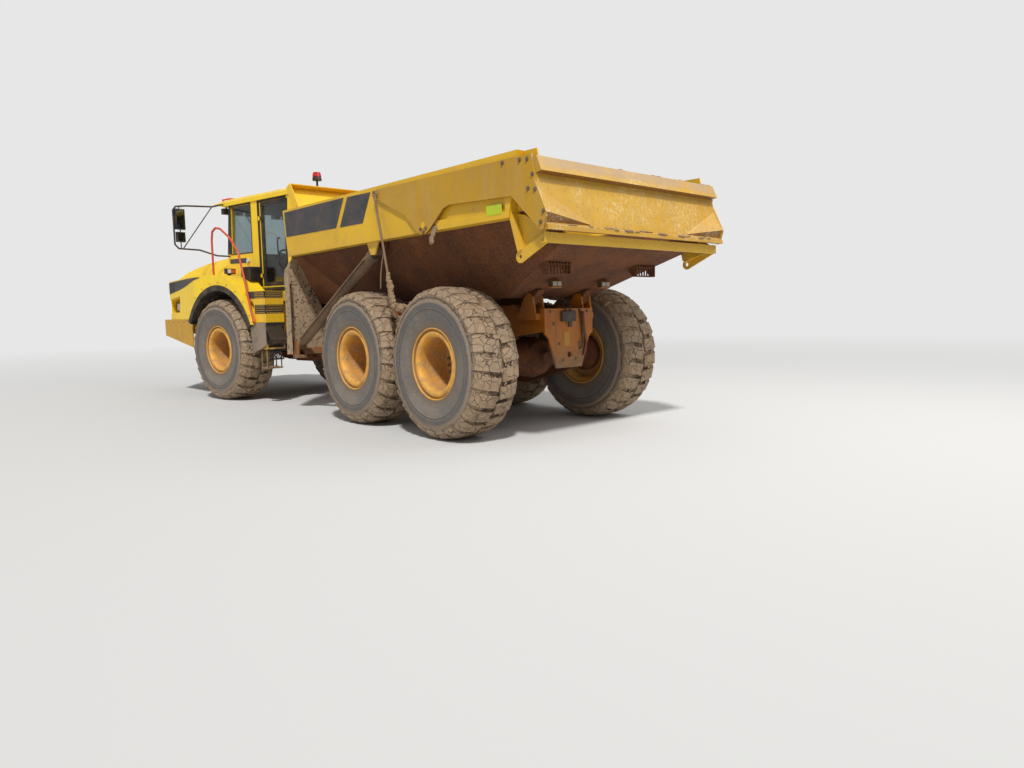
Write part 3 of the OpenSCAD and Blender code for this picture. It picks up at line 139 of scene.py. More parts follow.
class Tree:
    """A material's nodes, with short calls for the ones used here."""

    def __init__(self, material: bpy.types.Material) -> None:
        """Empties the material's tree and keeps it.

        Args:
            material: the material to build.
        """
        material.use_nodes = True
        self.tree = material.node_tree
        self.tree.nodes.clear()
        self.output = self.tree.nodes.new("ShaderNodeOutputMaterial")
        self.coords = self.tree.nodes.new("ShaderNodeTexCoord")

    def add(self, kind: str, **sockets: object) -> bpy.types.Node:
        """Adds a node and sets or links its inputs.

        Args:
            kind: the node's type name.
            **sockets: input names, with _ for a space, and a value or an output socket each.

        Returns:
            The new node.
        """
        node = self.tree.nodes.new(kind)
        for name, value in sockets.items():
            self.feed(node.inputs[name.replace("_", " ")], value)
        return node

    def feed(self, socket: Socket, value: object) -> None:
        """Links an input to another node's output, or sets it to a number, vector or colour.

        Args:
            socket: the input.
            value: an output, a number, a vector or a colour.
        """
        if isinstance(value, Socket):
            self.tree.links.new(value, socket)
        elif socket.type == "RGBA" and len(value) == 3:
            socket.default_value = (*value, 1.0)
        else:
            socket.default_value = value

    def noise(self, scale: float, detail: float = 4.0, rough: float = 0.6,
              vector: Socket | None = None) -> Socket:
        """Returns a noise factor on Object coordinates.

        Args:
            scale: how fine it is.
            detail: how many finer noises it adds.
            rough: how strong those are.
            vector: other coordinates, if not the object's own.

        Returns:
            The factor.
        """
        node = self.add("ShaderNodeTexNoise", Scale=scale, Detail=detail, Roughness=rough,
                        Vector=vector or self.coords.outputs["Object"])
        return node.outputs["Fac"]

    def stretched(self, x: float, y: float, z: float) -> Socket:
        """Returns Object coordinates scaled along each axis."""
        node = self.add("ShaderNodeMapping", Vector=self.coords.outputs["Object"], Scale=(x, y, z))
        return node.outputs["Vector"]

    def ramp(self, value: Socket, low: float, high: float) -> Socket:
        """Returns value spread from 0 at low to 1 at high, clamped."""
        node = self.add("ShaderNodeMapRange", Value=value, From_Min=low, From_Max=high)
        return node.outputs["Result"]

    def between(self, value: Socket, low: float, high: float) -> Socket:
        """Returns low where value is 0 and high where it is 1."""
        return self.add("ShaderNodeMapRange", Value=value, To_Min=low, To_Max=high).outputs["Result"]

    def math(self, operation: str, a: object, b: object) -> Socket:
        """Returns a clamped sum, product or maximum of two values.

        Args:
            operation: the Math node's operation.
            a: a number or an output.
            b: a number or an output.

        Returns:
            The result.
        """
        node = self.tree.nodes.new("ShaderNodeMath")
        node.operation = operation
        node.use_clamp = True
        for socket, value in zip(node.inputs, (a, b)):
            self.feed(socket, value)
        return node.outputs[0]

    def times(self, a: object, b: object) -> Socket:
        """Returns a clamped product."""
        return self.math("MULTIPLY", a, b)

    def plus(self, a: object, b: object) -> Socket:
        """Returns a clamped sum."""
        return self.math("ADD", a, b)

    def plain(self, operation: str, a: object, b: object) -> Socket:
        """Returns a sum, product or other result that isn't clamped.

        Args:
            operation: the Math node's operation.
            a: a number or an output.
            b: a number or an output.

        Returns:
            The result.
        """
        result = self.math(operation, a, b)
        result.node.use_clamp = False
        return result

    def mix(self, factor: object, a: object, b: object) -> Socket:
        """Returns the mix of two colours.

        Args:
            factor: 0 for the first colour, 1 for the second.
            a: the first colour.
            b: the second colour.

        Returns:
            The mixed colour.
        """
        node = self.tree.nodes.new("ShaderNodeMix")
        node.data_type = "RGBA"
        for index, value in ((0, factor), (6, a), (7, b)):
            self.feed(node.inputs[index], value)
        return node.outputs[2]

    def axis(self, output: Socket, name: str) -> Socket:
        """Returns one part of a vector."""
        return self.add("ShaderNodeSeparateXYZ", Vector=output).outputs[name]

    def length(self, vector: Socket) -> Socket:
        """Returns the length of a vector.

        Args:
            vector: the vector.

        Returns:
            Its length.
        """
        node = self.tree.nodes.new("ShaderNodeVectorMath")
        node.operation = "LENGTH"
        self.tree.links.new(vector, node.inputs[0])
        return node.outputs["Value"]

    def shaken(self, vector: Socket, scale: float, reach: float) -> Socket:
        """Returns coordinates moved about by noise, so that cells on them get uneven edges.

        Args:
            vector: the coordinates.
            scale: how fine the noise is.
            reach: how far it moves them.

        Returns:
            The moved coordinates.
        """
        shake = self.add("ShaderNodeTexNoise", Scale=scale, Detail=4.0, Vector=vector)
        shrunk = self.tree.nodes.new("ShaderNodeVectorMath")
        shrunk.operation = "SCALE"
        shrunk.inputs["Scale"].default_value = reach
        self.tree.links.new(shake.outputs["Color"], shrunk.inputs[0])
        moved = self.tree.nodes.new("ShaderNodeVectorMath")
        moved.operation = "ADD"
        self.tree.links.new(vector, moved.inputs[0])
        self.tree.links.new(shrunk.outputs["Vector"], moved.inputs[1])
        return moved.outputs["Vector"]

    def up(self) -> Socket:
        """Returns how far the surface faces upwards."""
        geometry = self.tree.nodes.new("ShaderNodeNewGeometry")
        return self.axis(geometry.outputs["Normal"], "Z")

    def bump(self, height: Socket, distance: float, strength: float = 1.0,
             normal: Socket | None = None) -> Socket:
        """Returns a normal bumped by a height.

        Args:
            height: the height's factor.
            distance: the height of 1, in metres.
            strength: the bump's share.
            normal: an earlier bump to add to.

        Returns:
            The normal.
        """
        sockets: dict[str, object] = {"Height": height, "Distance": distance, "Strength": strength}
        if normal is not None:
            sockets["Normal"] = normal
        return self.add("ShaderNodeBump", **sockets).outputs["Normal"]

    def surface(self, **sockets: object) -> None:
        """Adds the shader with its inputs and joins it to the output."""
        shader = self.add("ShaderNodeBsdfPrincipled", **sockets)
        self.tree.links.new(shader.outputs[0], self.output.inputs["Surface"])

    def layered(self, factor: Socket, below: bpy.types.Node, above: bpy.types.Node) -> None:
        """Joins a mix of two shaders to the output.

        Args:
            factor: 0 for the shader below, 1 for the one above.
            below: the shader below.
            above: the shader above.
        """
        mixed = self.add("ShaderNodeMixShader", Fac=factor)
        self.tree.links.new(below.outputs[0], mixed.inputs[1])
        self.tree.links.new(above.outputs[0], mixed.inputs[2])
        self.tree.links.new(mixed.outputs[0], self.output.inputs["Surface"])


CLAY = srgb(152, 124, 94)
CLAY_DARK = srgb(108, 84, 62)
CLAY_PALE = srgb(186, 160, 128)
RUST = srgb(104, 66, 38)

# Painted shade for the gate's downward faces, its scuffs and its dusty ledge; the belly's paint, darkened
# as painted shade; clay that is still wet
GATE_SHADE = srgb(132, 86, 30)
SCUFF_PALE = srgb(222, 208, 166)
SCUFF_BROWN = srgb(150, 112, 52)
LEDGE_DUST = srgb(172, 142, 104)
BELLY_YELLOW_SHADED = srgb(156, 108, 48)
WET_CLAY = srgb(92, 84, 76)

# A tyre's sidewall, from bare rubber to the clay at its shoulder, and then its tread
RUBBER = srgb(106, 102, 98)
RUBBER_DUSTY = srgb(128, 121, 112)
RUBBER_CLAY = srgb(146, 128, 108)
RUBBER_BEAD = srgb(122, 104, 84)
RUBBER_BAND = srgb(84, 82, 82)
RUBBER_SHOULDER = srgb(150, 130, 108)
# A thin ring of painted shade where a groove is moulded in the sidewall.
RUBBER_GROOVE_SHADE = srgb(58, 55, 52)
TREAD_BROWN = srgb(160, 136, 110)
TREAD_PALE = srgb(208, 180, 146)
TREAD_TAN = srgb(150, 124, 96)
TREAD_GREY = srgb(148, 134, 118)
TREAD_CRACK = srgb(66, 48, 34)
# Dark clay with painted shade, for the tread's low gaps.
TREAD_GAP_SHADED = srgb(78, 60, 44)
TREAD_GAP_DUSTY = srgb(112, 92, 72)

# A rim's paint and clay
RIM_OCHRE = srgb(236, 174, 66)
RIM_FADED = srgb(214, 154, 70)
# The dish's paint, darkened as painted shade deeper in the rim.
RIM_DISH_SHADE = srgb(176, 112, 40)
RIM_MUD_DARK = srgb(138, 102, 64)
RIM_MUD = srgb(204, 168, 122)
RIM_GUTTER = srgb(96, 62, 34)


@dataclass(frozen=True)
class Paint:
    """Paint with dust on top, clay from below and chips of wear."""

    name: str
    colour: Colour
    faded: Colour
    clay_low: float = 0.9
    clay_high: float = 1.5
    dust: float = 0.35
    rough: float = 0.42
    patches: float = 1.0
    streaks: float = 0.35
    chips: float = 0.5
    film: Colour = CLAY
    scuff: float = 0.0
    dusty_above: float = 9.0

    def scuffed(self, t: Tree, base: Socket, height: Socket, patch: Socket) -> Socket:
        """Returns the paint with painted shade on its downward faces, pale scuffs in patches, and the tan
        dust of what lies above a height.

        Args:
            t: the material's tree.
            base: the paint's colour so far.
            height: each point's height.
            patch: a noise in patches.

        Returns:
            The colour.
        """
        normal = t.coords.outputs["Normal"]
        behind = t.ramp(t.axis(normal, "X"), -0.45, -0.8)
        # Painted shade: faces that turn downwards darken towards GATE_SHADE.
        under = t.times(t.ramp(t.axis(normal, "Z"), -0.08, -0.3), 0.95)
        base = t.mix(under, base, GATE_SHADE)
        grain = t.ramp(t.noise(46.0, 5.0, 0.8, t.stretched(1.0, 1.0, 0.55)), 0.50, 0.62)
        where = t.ramp(t.noise(1.5, 5.0, 0.65), 0.46, 0.62)
        pale = t.times(t.times(grain, where), t.times(behind, self.scuff))
        base = t.mix(pale, base, SCUFF_PALE)
        worn = t.ramp(t.noise(24.0, 5.0, 0.75), 0.54, 0.66)
        base = t.mix(t.times(worn, t.times(behind, self.scuff * 0.7)), base, SCUFF_BROWN)
        faces = t.math("MAXIMUM", behind, t.ramp(t.up(), 0.3, 0.8))
        above = t.ramp(height, self.dusty_above, self.dusty_above + 0.02)
        top = t.times(above, t.ramp(patch, 0.26, 0.5))
        return t.mix(t.times(t.times(top, faces), 0.85), base, LEDGE_DUST)

    def build(self) -> bpy.types.Material:
        """Builds paint that is faded in patches, dusty where it faces up, with clay lower down.

        Returns:
            The material.
        """
        material = bpy.data.materials.new(self.name)
        t = Tree(material)
        broad = t.noise(0.9, 5.0, 0.6)
        patch = t.noise(3.4, 8.0, 0.68)
        fine = t.noise(38.0, 6.0, 0.7)
        streak = t.noise(3.0, 4.0, 0.55, t.stretched(5.0, 5.0, 0.35))
        height = t.axis(t.coords.outputs["Object"], "Z")
        low = t.ramp(height, self.clay_high, self.clay_low)
        spots = t.times(t.ramp(patch, 0.5 - 0.1 * self.patches, 0.78), 0.62 * self.patches)
        clay = t.plus(low, spots)
        clay = t.times(clay, t.ramp(t.plus(patch, t.times(fine, 0.35)), 0.42, 0.72))
        dust = t.times(t.ramp(t.up(), 0.15, 0.95), t.ramp(patch, 0.3, 0.6))
        film = t.times(t.ramp(streak, 0.45, 0.75), self.streaks)
        film = t.math("MAXIMUM", film, t.times(dust, min(1.0, self.dust * 1.6)))
        base = t.mix(t.ramp(broad, 0.35, 0.7), self.colour, self.faded)
        base = t.mix(film, base, self.film)
        speck = t.times(t.ramp(t.noise(90.0, 3.0, 0.75), 0.64, 0.69), t.ramp(patch, 0.35, 0.7))
        base = t.mix(t.times(speck, self.chips), base, RUST)
        if self.scuff > 0:
            base = self.scuffed(t, base, height, patch)
        mud = t.mix(t.ramp(fine, 0.35, 0.65), CLAY_DARK, CLAY)
        colour = t.mix(clay, base, mud)
        rough = t.between(t.math("MAXIMUM", clay, film), self.rough, 0.93)
        relief = t.times(clay, t.plus(t.times(fine, 0.5), t.times(patch, 0.5)))
        normal = t.bump(relief, 0.008, 0.9)
        t.surface(Base_Color=colour, Roughness=rough, Normal=normal)
        return material


@dataclass(frozen=True)
class BoxPaint:
    """The load box: clean rails and corners outside, clay under its belly and on its floor, in colours
    darkened as painted shade.
    """

    name: str
    colour: Colour
    faded: Colour
    wall_y: float = 1.228
    wall_top: float = 2.31
    lip_x: float = -3.262
    # The belly's clay colours: clay, darkened as painted shade under the box.
    belly: Colour = srgb(112, 60, 22)
    belly_dark: Colour = srgb(70, 38, 16)

    def build(self) -> bpy.types.Material:
        """Builds paint that has clay, darkened as painted shade, inside the rails, and is yellow on what
        stands outside.

        Returns:
            The material.
        """
        material = bpy.data.materials.new(self.name)
        t = Tree(material)
        across = t.plain("ABSOLUTE", t.plain("ADD", t.axis(t.coords.outputs["Object"], "Y"), MID_Y), 0.0)
        height = t.axis(t.coords.outputs["Object"], "Z")
        along = t.plain("ADD", t.axis(t.coords.outputs["Object"], "X"), MID_X)
        broad = t.noise(0.8, 5.0, 0.6)
        patch = t.noise(3.1, 8.0, 0.66)
        fine = t.noise(44.0, 6.0, 0.7)
        streak = t.noise(3.2, 5.0, 0.6, t.stretched(6.0, 6.0, 0.5))
        inside = t.times(t.ramp(across, self.wall_y, self.wall_y - 0.008),
                         t.ramp(height, self.wall_top, self.wall_top - 0.03))
        inside = t.times(inside, t.ramp(along, self.lip_x, self.lip_x + 0.01))
        grime = t.times(t.ramp(patch, 0.56, 0.74), 0.4)
        grime = t.plus(grime, t.times(t.ramp(height, 2.24, 2.14), 0.25))
        grime = t.times(grime, t.ramp(fine, 0.3, 0.62))
        base = t.mix(t.ramp(broad, 0.35, 0.7), self.colour, self.faded)
        base = t.mix(t.times(t.ramp(streak, 0.5, 0.78), 0.22), base, CLAY_PALE)
        speck = t.times(t.ramp(t.noise(95.0, 3.0, 0.75), 0.62, 0.68), t.ramp(patch, 0.35, 0.7))
        base = t.mix(t.times(speck, 0.6), base, RUST)
        base = t.mix(grime, base, CLAY)
        base = t.mix(t.times(t.ramp(t.up(), 0.6, 0.95), t.ramp(patch, 0.3, 0.6)), base, CLAY_PALE)
        # The clay inside the rails, darkened as painted shade.
        mud = t.mix(t.ramp(patch, 0.3, 0.66), self.belly_dark, self.belly)
        mud = t.mix(t.times(t.ramp(fine, 0.45, 0.7), 0.28), mud, CLAY)
        # Paint shows through the belly's clay in patches, in a yellow darkened as painted shade.
        shown = t.times(t.ramp(broad, 0.56, 0.66), 0.35)
        mud = t.mix(shown, mud, BELLY_YELLOW_SHADED)
        colour = t.mix(inside, base, mud)
        rough = t.between(t.math("MAXIMUM", inside, grime), 0.4, 0.94)
        grit = t.plus(t.times(fine, 0.4), t.times(patch, 0.6))
        relief = t.times(t.plus(inside, t.times(grime, 0.3)), grit)
        t.surface(Base_Color=colour, Roughness=rough, Normal=t.bump(relief, 0.012, 0.9))
        return material


@dataclass(frozen=True)
class PittedClay:
    """A thick coat of clay thrown up on rubber, pitted where drops have fallen off."""

    name: str
    clay: Colour
    pit: Colour

    def build(self) -> bpy.types.Material:
        """Builds the finish.

        Returns:
            The material.
        """
        material = bpy.data.materials.new(self.name)
        t = Tree(material)
        broad = t.noise(1.3, 5.0, 0.6)
        patch = t.noise(6.0, 7.0, 0.7)
        drops = t.noise(34.0, 4.0, 0.55)
        fine = t.noise(90.0, 5.0, 0.7)
        run_off = t.noise(2.6, 5.0, 0.6, t.stretched(4.0, 4.0, 0.45))
        pits = t.times(t.ramp(drops, 0.56, 0.62), t.ramp(broad, 0.36, 0.5))
        colour = t.mix(t.ramp(patch, 0.3, 0.7), self.clay, CLAY_PALE)
        colour = t.mix(t.times(t.ramp(run_off, 0.62, 0.7), 0.8), colour, WET_CLAY)
        colour = t.mix(pits, colour, self.pit)
        height = t.plus(t.times(fine, 0.2), t.times(t.ramp(drops, 0.62, 0.54), 0.6))
        t.surface(Base_Color=colour, Roughness=0.95, Normal=t.bump(height, 0.012, 1.0))
        return material


@dataclass(frozen=True)
class Crust:
    """Dried clay over rubber or steel, with the ground colour in the worn places."""

    name: str
    ground: Colour
    clay: Colour
    clay_deep: Colour
    cover: float = 0.6
    grain: float = 22.0
    relief: float = 0.012
    rough: float = 0.9

    def build(self) -> bpy.types.Material:
        """Builds the finish.

        Returns:
            The material.
        """
        material = bpy.data.materials.new(self.name)
        t = Tree(material)
        broad = t.noise(2.2, 6.0, 0.6)
        patch = t.noise(7.5, 9.0, 0.72)
        fine = t.noise(self.grain * 3, 5.0, 0.7)
        cells = t.add("ShaderNodeTexVoronoi", Scale=self.grain, Vector=t.coords.outputs["Object"])
        cover = t.ramp(t.plus(t.times(patch, 0.7), t.times(broad, 0.3)),
                       0.62 - 0.4 * self.cover, 0.72 - 0.3 * self.cover)
        clay = t.mix(t.ramp(fine, 0.3, 0.7), self.clay_deep, self.clay)
        clay = t.mix(t.ramp(broad, 0.35, 0.65), clay, self.clay)
        colour = t.mix(cover, self.ground, clay)
        height = t.plus(t.times(fine, 0.3), t.times(patch, 0.5))
        height = t.plus(height, t.times(cells.outputs["Distance"], 0.2))
        normal = t.bump(t.times(height, t.ramp(cover, -0.6, 1.0)), self.relief, 1.0)
        t.surface(Base_Color=colour, Roughness=self.rough, Normal=normal)
        return material


@dataclass(frozen=True)
class Plain:
    """Plastic, rubber or metal with dust in its grain."""

    name: str
    colour: Colour
    dust: float = 0.35
    rough: float = 0.55
    metal: float = 0.0
    grain: float = 60.0
    dust_colour: Colour = CLAY

    def build(self) -> bpy.types.Material:
        """Builds the finish.

        Returns:
            The material.
        """
        material = bpy.data.materials.new(self.name)
        t = Tree(material)
        patch = t.noise(6.0, 7.0, 0.65)
        fine = t.noise(self.grain, 4.0, 0.6)
        top = t.times(t.ramp(t.up(), 0.0, 0.9), 0.5)
        mask = t.times(t.plus(t.ramp(patch, 0.4, 0.75), top), self.dust)
        colour = t.mix(mask, self.colour, self.dust_colour)
        rough = t.between(mask, self.rough, 0.92)
        t.surface(Base_Color=colour, Roughness=rough, Metallic=self.metal, Normal=t.bump(fine, 0.001, 0.5))
        return material


@dataclass(frozen=True)
class Pane:
    """Window glass with a patchy film of dust."""

    name: str
    tint: Colour
    dust: float = 0.14

    def build(self) -> bpy.types.Material:
        """Builds the finish.

        Returns:
            The material.
        """
        material = bpy.data.materials.new(self.name)
        t = Tree(material)
        patch = t.noise(2.5, 6.0, 0.6)
        film = t.times(t.ramp(patch, 0.35, 0.8), self.dust)
        clear = t.add("ShaderNodeBsdfPrincipled", Base_Color=self.tint, Roughness=0.03, IOR=1.45,
                      Transmission_Weight=1.0)
        dusty = t.add("ShaderNodeBsdfPrincipled", Base_Color=CLAY_PALE, Roughness=0.9)
        t.layered(film, clear, dusty)
        return material


@dataclass(frozen=True)
class WheelFinish:
    """A finish that follows a wheel's own axle: its radius and its place along the axle."""

    name: str
    centre: Point
    turn: float

    def polar(self, t: Tree) -> tuple[Socket, Socket, Socket]:
        """Returns the radius from the axle, the place along it, and the wheel's own coordinates.

        Args:
            t: the material's tree.

        Returns:
            The three outputs.
        """
        spin = Matrix.Rotation(-self.turn, 3, "Z")
        shift = -(spin @ Vector(self.centre))
        local = t.add("ShaderNodeMapping", Vector=t.coords.outputs["Object"], Location=tuple(shift),
                      Rotation=(0.0, 0.0, -self.turn)).outputs["Vector"]
        flat = t.add("ShaderNodeMapping", Vector=local, Scale=(1.0, 0.0, 1.0)).outputs["Vector"]
        return t.length(flat), t.axis(local, "Y"), local

    def sidewall(self, t: Tree, radius: Socket, broad: Socket, patch: Socket) -> Socket:
        """Returns the sidewall's colour: grey rubber, dusty at the bead, with clay at the shoulder and a
        ring of painted shade in a moulded groove.

        Args:
            t: the material's tree.
            radius: how far a point is from the axle.
            broad: a wide noise.
            patch: a noise in patches.

        Returns:
            The colour.
        """
        side = t.mix(t.ramp(broad, 0.35, 0.65), RUBBER, RUBBER_DUSTY)
        side = t.mix(t.times(t.ramp(patch, 0.42, 0.66), 0.5), side, RUBBER_CLAY)
        side = t.mix(t.ramp(radius, 0.47, 0.39), side, RUBBER_BEAD)
        band = t.times(t.ramp(radius, 0.585, 0.6), t.ramp(radius, 0.66, 0.635))
        side = t.mix(t.times(band, 0.55), side, RUBBER_BAND)
        shoulder = t.ramp(t.plus(radius, t.times(patch, 0.05)), 0.655, 0.69)
        side = t.mix(t.times(shoulder, 0.85), side, RUBBER_SHOULDER)
        # Painted shade in the moulded groove.
        groove_shade = t.times(t.ramp(radius, 0.566, 0.571), t.ramp(radius, 0.582, 0.577))
        return t.mix(t.times(groove_shade, 0.75), side, RUBBER_GROOVE_SHADE)

    def lugs(self, t: Tree, reach: Socket, crack: Socket, noises: Sequence[Socket]) -> Socket:
        """Returns the tread's colour: pale cracked clay on the lugs, dark clay with painted shade in the
        low gaps.

        Args:
            t: the material's tree.
            reach: how far a point is from the axle, with the shoulders' fall added.
            crack: where the clay is cracked.
            noises: a wide noise, one in patches and a fine one.

        Returns:
            The colour.
        """
        broad, patch, fine = noises
        worn = t.mix(t.ramp(fine, 0.3, 0.7), TREAD_BROWN, TREAD_PALE)
        worn = t.mix(t.ramp(patch, 0.36, 0.66), TREAD_TAN, worn)
        worn = t.mix(t.times(t.ramp(broad, 0.46, 0.66), 0.45), worn, TREAD_GREY)
        worn = t.mix(t.times(crack, 0.75), worn, TREAD_CRACK)
        # Lower parts of the tread turn to the gap colour: painted shade with dark clay.
        crown = t.ramp(t.plain("ADD", reach, t.times(fine, 0.010)), 0.780, 0.803)
        colour = t.mix(crown, TREAD_GAP_SHADED, worn)
        return t.mix(t.times(t.ramp(patch, 0.56, 0.7), 0.5), colour, TREAD_GAP_DUSTY)

    def tyre(self) -> bpy.types.Material:
        """Builds a tyre: clay in the tread with painted shade in its low gaps, a dusty grey sidewall with
        moulded rings and a ring of painted shade in its groove.

        Returns:
            The material.
        """
        material = bpy.data.materials.new(self.name)
        t = Tree(material)
        radius, along, local = self.polar(t)
        fall = t.times(t.ramp(t.plain("ABSOLUTE", along, 0.0), 0.13, 0.29), 0.085)
        broad = t.noise(2.6, 5.0, 0.6, local)
        patch = t.noise(9.0, 9.0, 0.72, local)
        fine = t.noise(70.0, 5.0, 0.7, local)
        tread = t.ramp(t.plus(radius, t.times(patch, 0.09)), 0.725, 0.775)
        cells = t.add("ShaderNodeTexVoronoi", Scale=11.0, Vector=t.shaken(local, 9.0, 0.09))
        cells.feature = "DISTANCE_TO_EDGE"
        crack = t.times(t.ramp(cells.outputs["Distance"], 0.05, 0.012), t.ramp(patch, 0.40, 0.58))
        lugs = self.lugs(t, t.plain("ADD", radius, fall), crack, (broad, patch, fine))
        colour = t.mix(tread, self.sidewall(t, radius, broad, patch), lugs)
        relief = t.plus(t.times(patch, 0.9), t.times(fine, 0.25))
        relief = t.plain("SUBTRACT", relief, t.times(crack, 0.5))
        normal = t.bump(t.plain("MULTIPLY", relief, t.between(tread, 0.25, 1.0)), 0.034, 1.0)
        rings = t.ramp(t.plain("PINGPONG", radius, 0.021), 0.0, 0.005)
        normal = t.bump(t.times(rings, t.ramp(tread, 1.0, 0.0)), 0.0025, 0.7, normal)
        t.surface(Base_Color=colour, Roughness=0.92, Normal=normal)
        return material

    def rim(self) -> bpy.types.Material:
        """Builds a rim: ochre paint, darkened as painted shade deeper in the dish, with clay packed in the
        dish round the disc.

        Returns:
            The material.
        """
        material = bpy.data.materials.new(self.name)
        t = Tree(material)
        radius, along, local = self.polar(t)
        depth = t.plain("ABSOLUTE", along, 0.0)
        patch = t.noise(8.0, 8.0, 0.7, local)
        fine = t.noise(55.0, 5.0, 0.7, local)
        dish = t.ramp(depth, 0.215, 0.13)
        clay = t.plus(t.times(dish, 0.42), t.times(t.ramp(patch, 0.46, 0.7), 0.7))
        clay = t.times(clay, t.ramp(t.plus(patch, t.times(fine, 0.3)), 0.45, 0.72))
        gutter = t.times(t.ramp(radius, 0.350, 0.354), t.ramp(radius, 0.370, 0.366))
        paint = t.mix(t.ramp(patch, 0.3, 0.7), RIM_OCHRE, RIM_FADED)
        # Painted shade: the paint darkens deeper in the dish.
        paint = t.mix(t.times(dish, 0.6), paint, RIM_DISH_SHADE)
        mud = t.mix(t.ramp(fine, 0.3, 0.7), RIM_MUD_DARK, RIM_MUD)
        paint = t.mix(t.times(gutter, 0.7), paint, RIM_GUTTER)
        rough = t.between(clay, 0.5, 0.93)
        relief = t.times(clay, t.plus(t.times(fine, 0.4), t.times(patch, 0.6)))
        t.surface(Base_Color=t.mix(clay, paint, mud), Roughness=rough, Normal=t.bump(relief, 0.01, 1.0))
        return material


class Finish(Enum):
    """Every finish on the truck."""

    CAB_YELLOW = Paint("cab_yellow", srgb(255, 214, 26), srgb(250, 204, 40), clay_low=0.7,
                       clay_high=1.1, dust=0.18, rough=0.32, patches=0.12, streaks=0.12, chips=0.3)
    BED_YELLOW = BoxPaint("bed_yellow", srgb(234, 184, 28), srgb(216, 168, 34))
    # The guard's faces below wall_top take the belly's clay colours, darkened as painted shade.
    GUARD_YELLOW = BoxPaint("guard_yellow", srgb(250, 200, 30), srgb(238, 186, 40), wall_y=1.60)
    # The gate's yellow is a darker copy of the box's yellow, painted shade against the sun on its rear
    # face.
    GATE_YELLOW_SHADED = Paint("gate_yellow_shaded", srgb(198, 152, 22), srgb(186, 138, 34), clay_low=1.6,
                        clay_high=2.1, dust=0.62, rough=0.38, patches=0.35, streaks=0.4, chips=0.8,
                        film=srgb(184, 154, 108), scuff=0.75, dusty_above=2.585)
    FRAME_YELLOW = Paint("frame_yellow", srgb(186, 108, 6), srgb(152, 84, 8), clay_low=0.6,
                         clay_high=1.1, dust=0.5, rough=0.5, patches=0.8, streaks=0.4, chips=0.9,
                         film=srgb(118, 74, 26))
    STEP_YELLOW = Paint("step_yellow", srgb(246, 196, 30), srgb(232, 182, 44), clay_low=1.08,
                        clay_high=1.16, dust=0.3, rough=0.4, patches=0.2, streaks=0.25)
    # The bumper's yellow is a darker copy of the yellow: painted shade for a part that faces away and down.
    BUMPER_YELLOW_SHADED = Paint("bumper_yellow_shaded", srgb(208, 158, 26), srgb(192, 142, 34), clay_low=0.6,
                          clay_high=0.9, dust=0.3, patches=0.3, streaks=0.3)
    MUD_STEEL = Crust("clay_on_steel", srgb(48, 28, 16), srgb(112, 66, 34), srgb(70, 42, 22), cover=0.8,
                      grain=16.0)
    FLAP = PittedClay("flap_clay", srgb(166, 142, 112), srgb(84, 68, 52))
    ROPE = Crust("rope_clay", srgb(92, 76, 58), srgb(140, 114, 86), srgb(98, 78, 58), cover=0.8, grain=80.0)
    CLAY_LUMP = Crust("clay_lump", srgb(128, 104, 78), srgb(158, 130, 100), srgb(110, 88, 66), cover=1.0,
                      grain=26.0, relief=0.02)
    PLASTIC = Plain("black_plastic", srgb(34, 34, 36), dust=0.3, rough=0.5)
    SEAL = Plain("rubber_seal", srgb(22, 22, 23), dust=0.25, rough=0.7)
    ARCH_RUBBER = Plain("arch_rubber", srgb(38, 37, 36), dust=0.45, rough=0.75)
    PANEL = Plain("dark_panel", srgb(58, 58, 62), dust=0.28, rough=0.45)
    ORANGE = Plain("orange_tube", srgb(206, 70, 38), dust=0.25, rough=0.4)
    GREY_MUD = Crust("grey_mud", srgb(112, 104, 94), srgb(150, 132, 112), srgb(112, 98, 82), cover=0.85,
                     grain=14.0)
    STEEL = Crust("cylinder_clay", srgb(96, 84, 70), srgb(134, 108, 80), srgb(88, 68, 50), cover=0.7,
                  grain=20.0, relief=0.006)
    CHROME = Plain("rod_chrome", srgb(190, 190, 190), dust=0.1, rough=0.18, metal=1.0, grain=20.0)
    BOLT = Plain("bolt_steel", srgb(120, 104, 84), dust=0.6, rough=0.6, metal=0.4)
    HOSE = Plain("hose_rubber", srgb(46, 42, 38), dust=0.6, rough=0.7)
    GLASS = Pane("cab_glass", (0.70, 0.80, 0.80), dust=0.06)
    AMBER = Plain("amber_lens", srgb(214, 92, 20), dust=0.12, rough=0.2)
    RED = Plain("red_lens", srgb(188, 26, 22), dust=0.1, rough=0.2)
    MAROON = Plain("beacon_base", srgb(74, 22, 22), dust=0.1, rough=0.3)
    LABEL = Plain("blank_label", srgb(186, 128, 22), dust=0.35, rough=0.5)
    RED_PIPE = Plain("rusty_pipe", srgb(112, 40, 20), dust=0.35, rough=0.6)
    HOLE = Plain("hole_shadow", srgb(188, 148, 50), dust=0.5, rough=0.8)
    LENS = Plain("clear_lens", srgb(206, 208, 206), dust=0.15, rough=0.12)
    DULL_LENS = Plain("dull_lens", srgb(170, 160, 142), dust=0.4, rough=0.3)
    REFLECT = Plain("reflector_yellow", srgb(188, 206, 30), dust=0.25, rough=0.35)
    MIRROR = Plain("mirror_glass", srgb(84, 88, 92), dust=0.1, rough=0.05, metal=1.0, grain=5.0)
    FABRIC = Plain("seat_fabric", srgb(62, 62, 66), dust=0.15, rough=0.9, grain=240.0)

    def material(self) -> bpy.types.Material:
        """Returns this finish's material, built once."""
        return bpy.data.materials.get(self.value.name) or self.value.build()


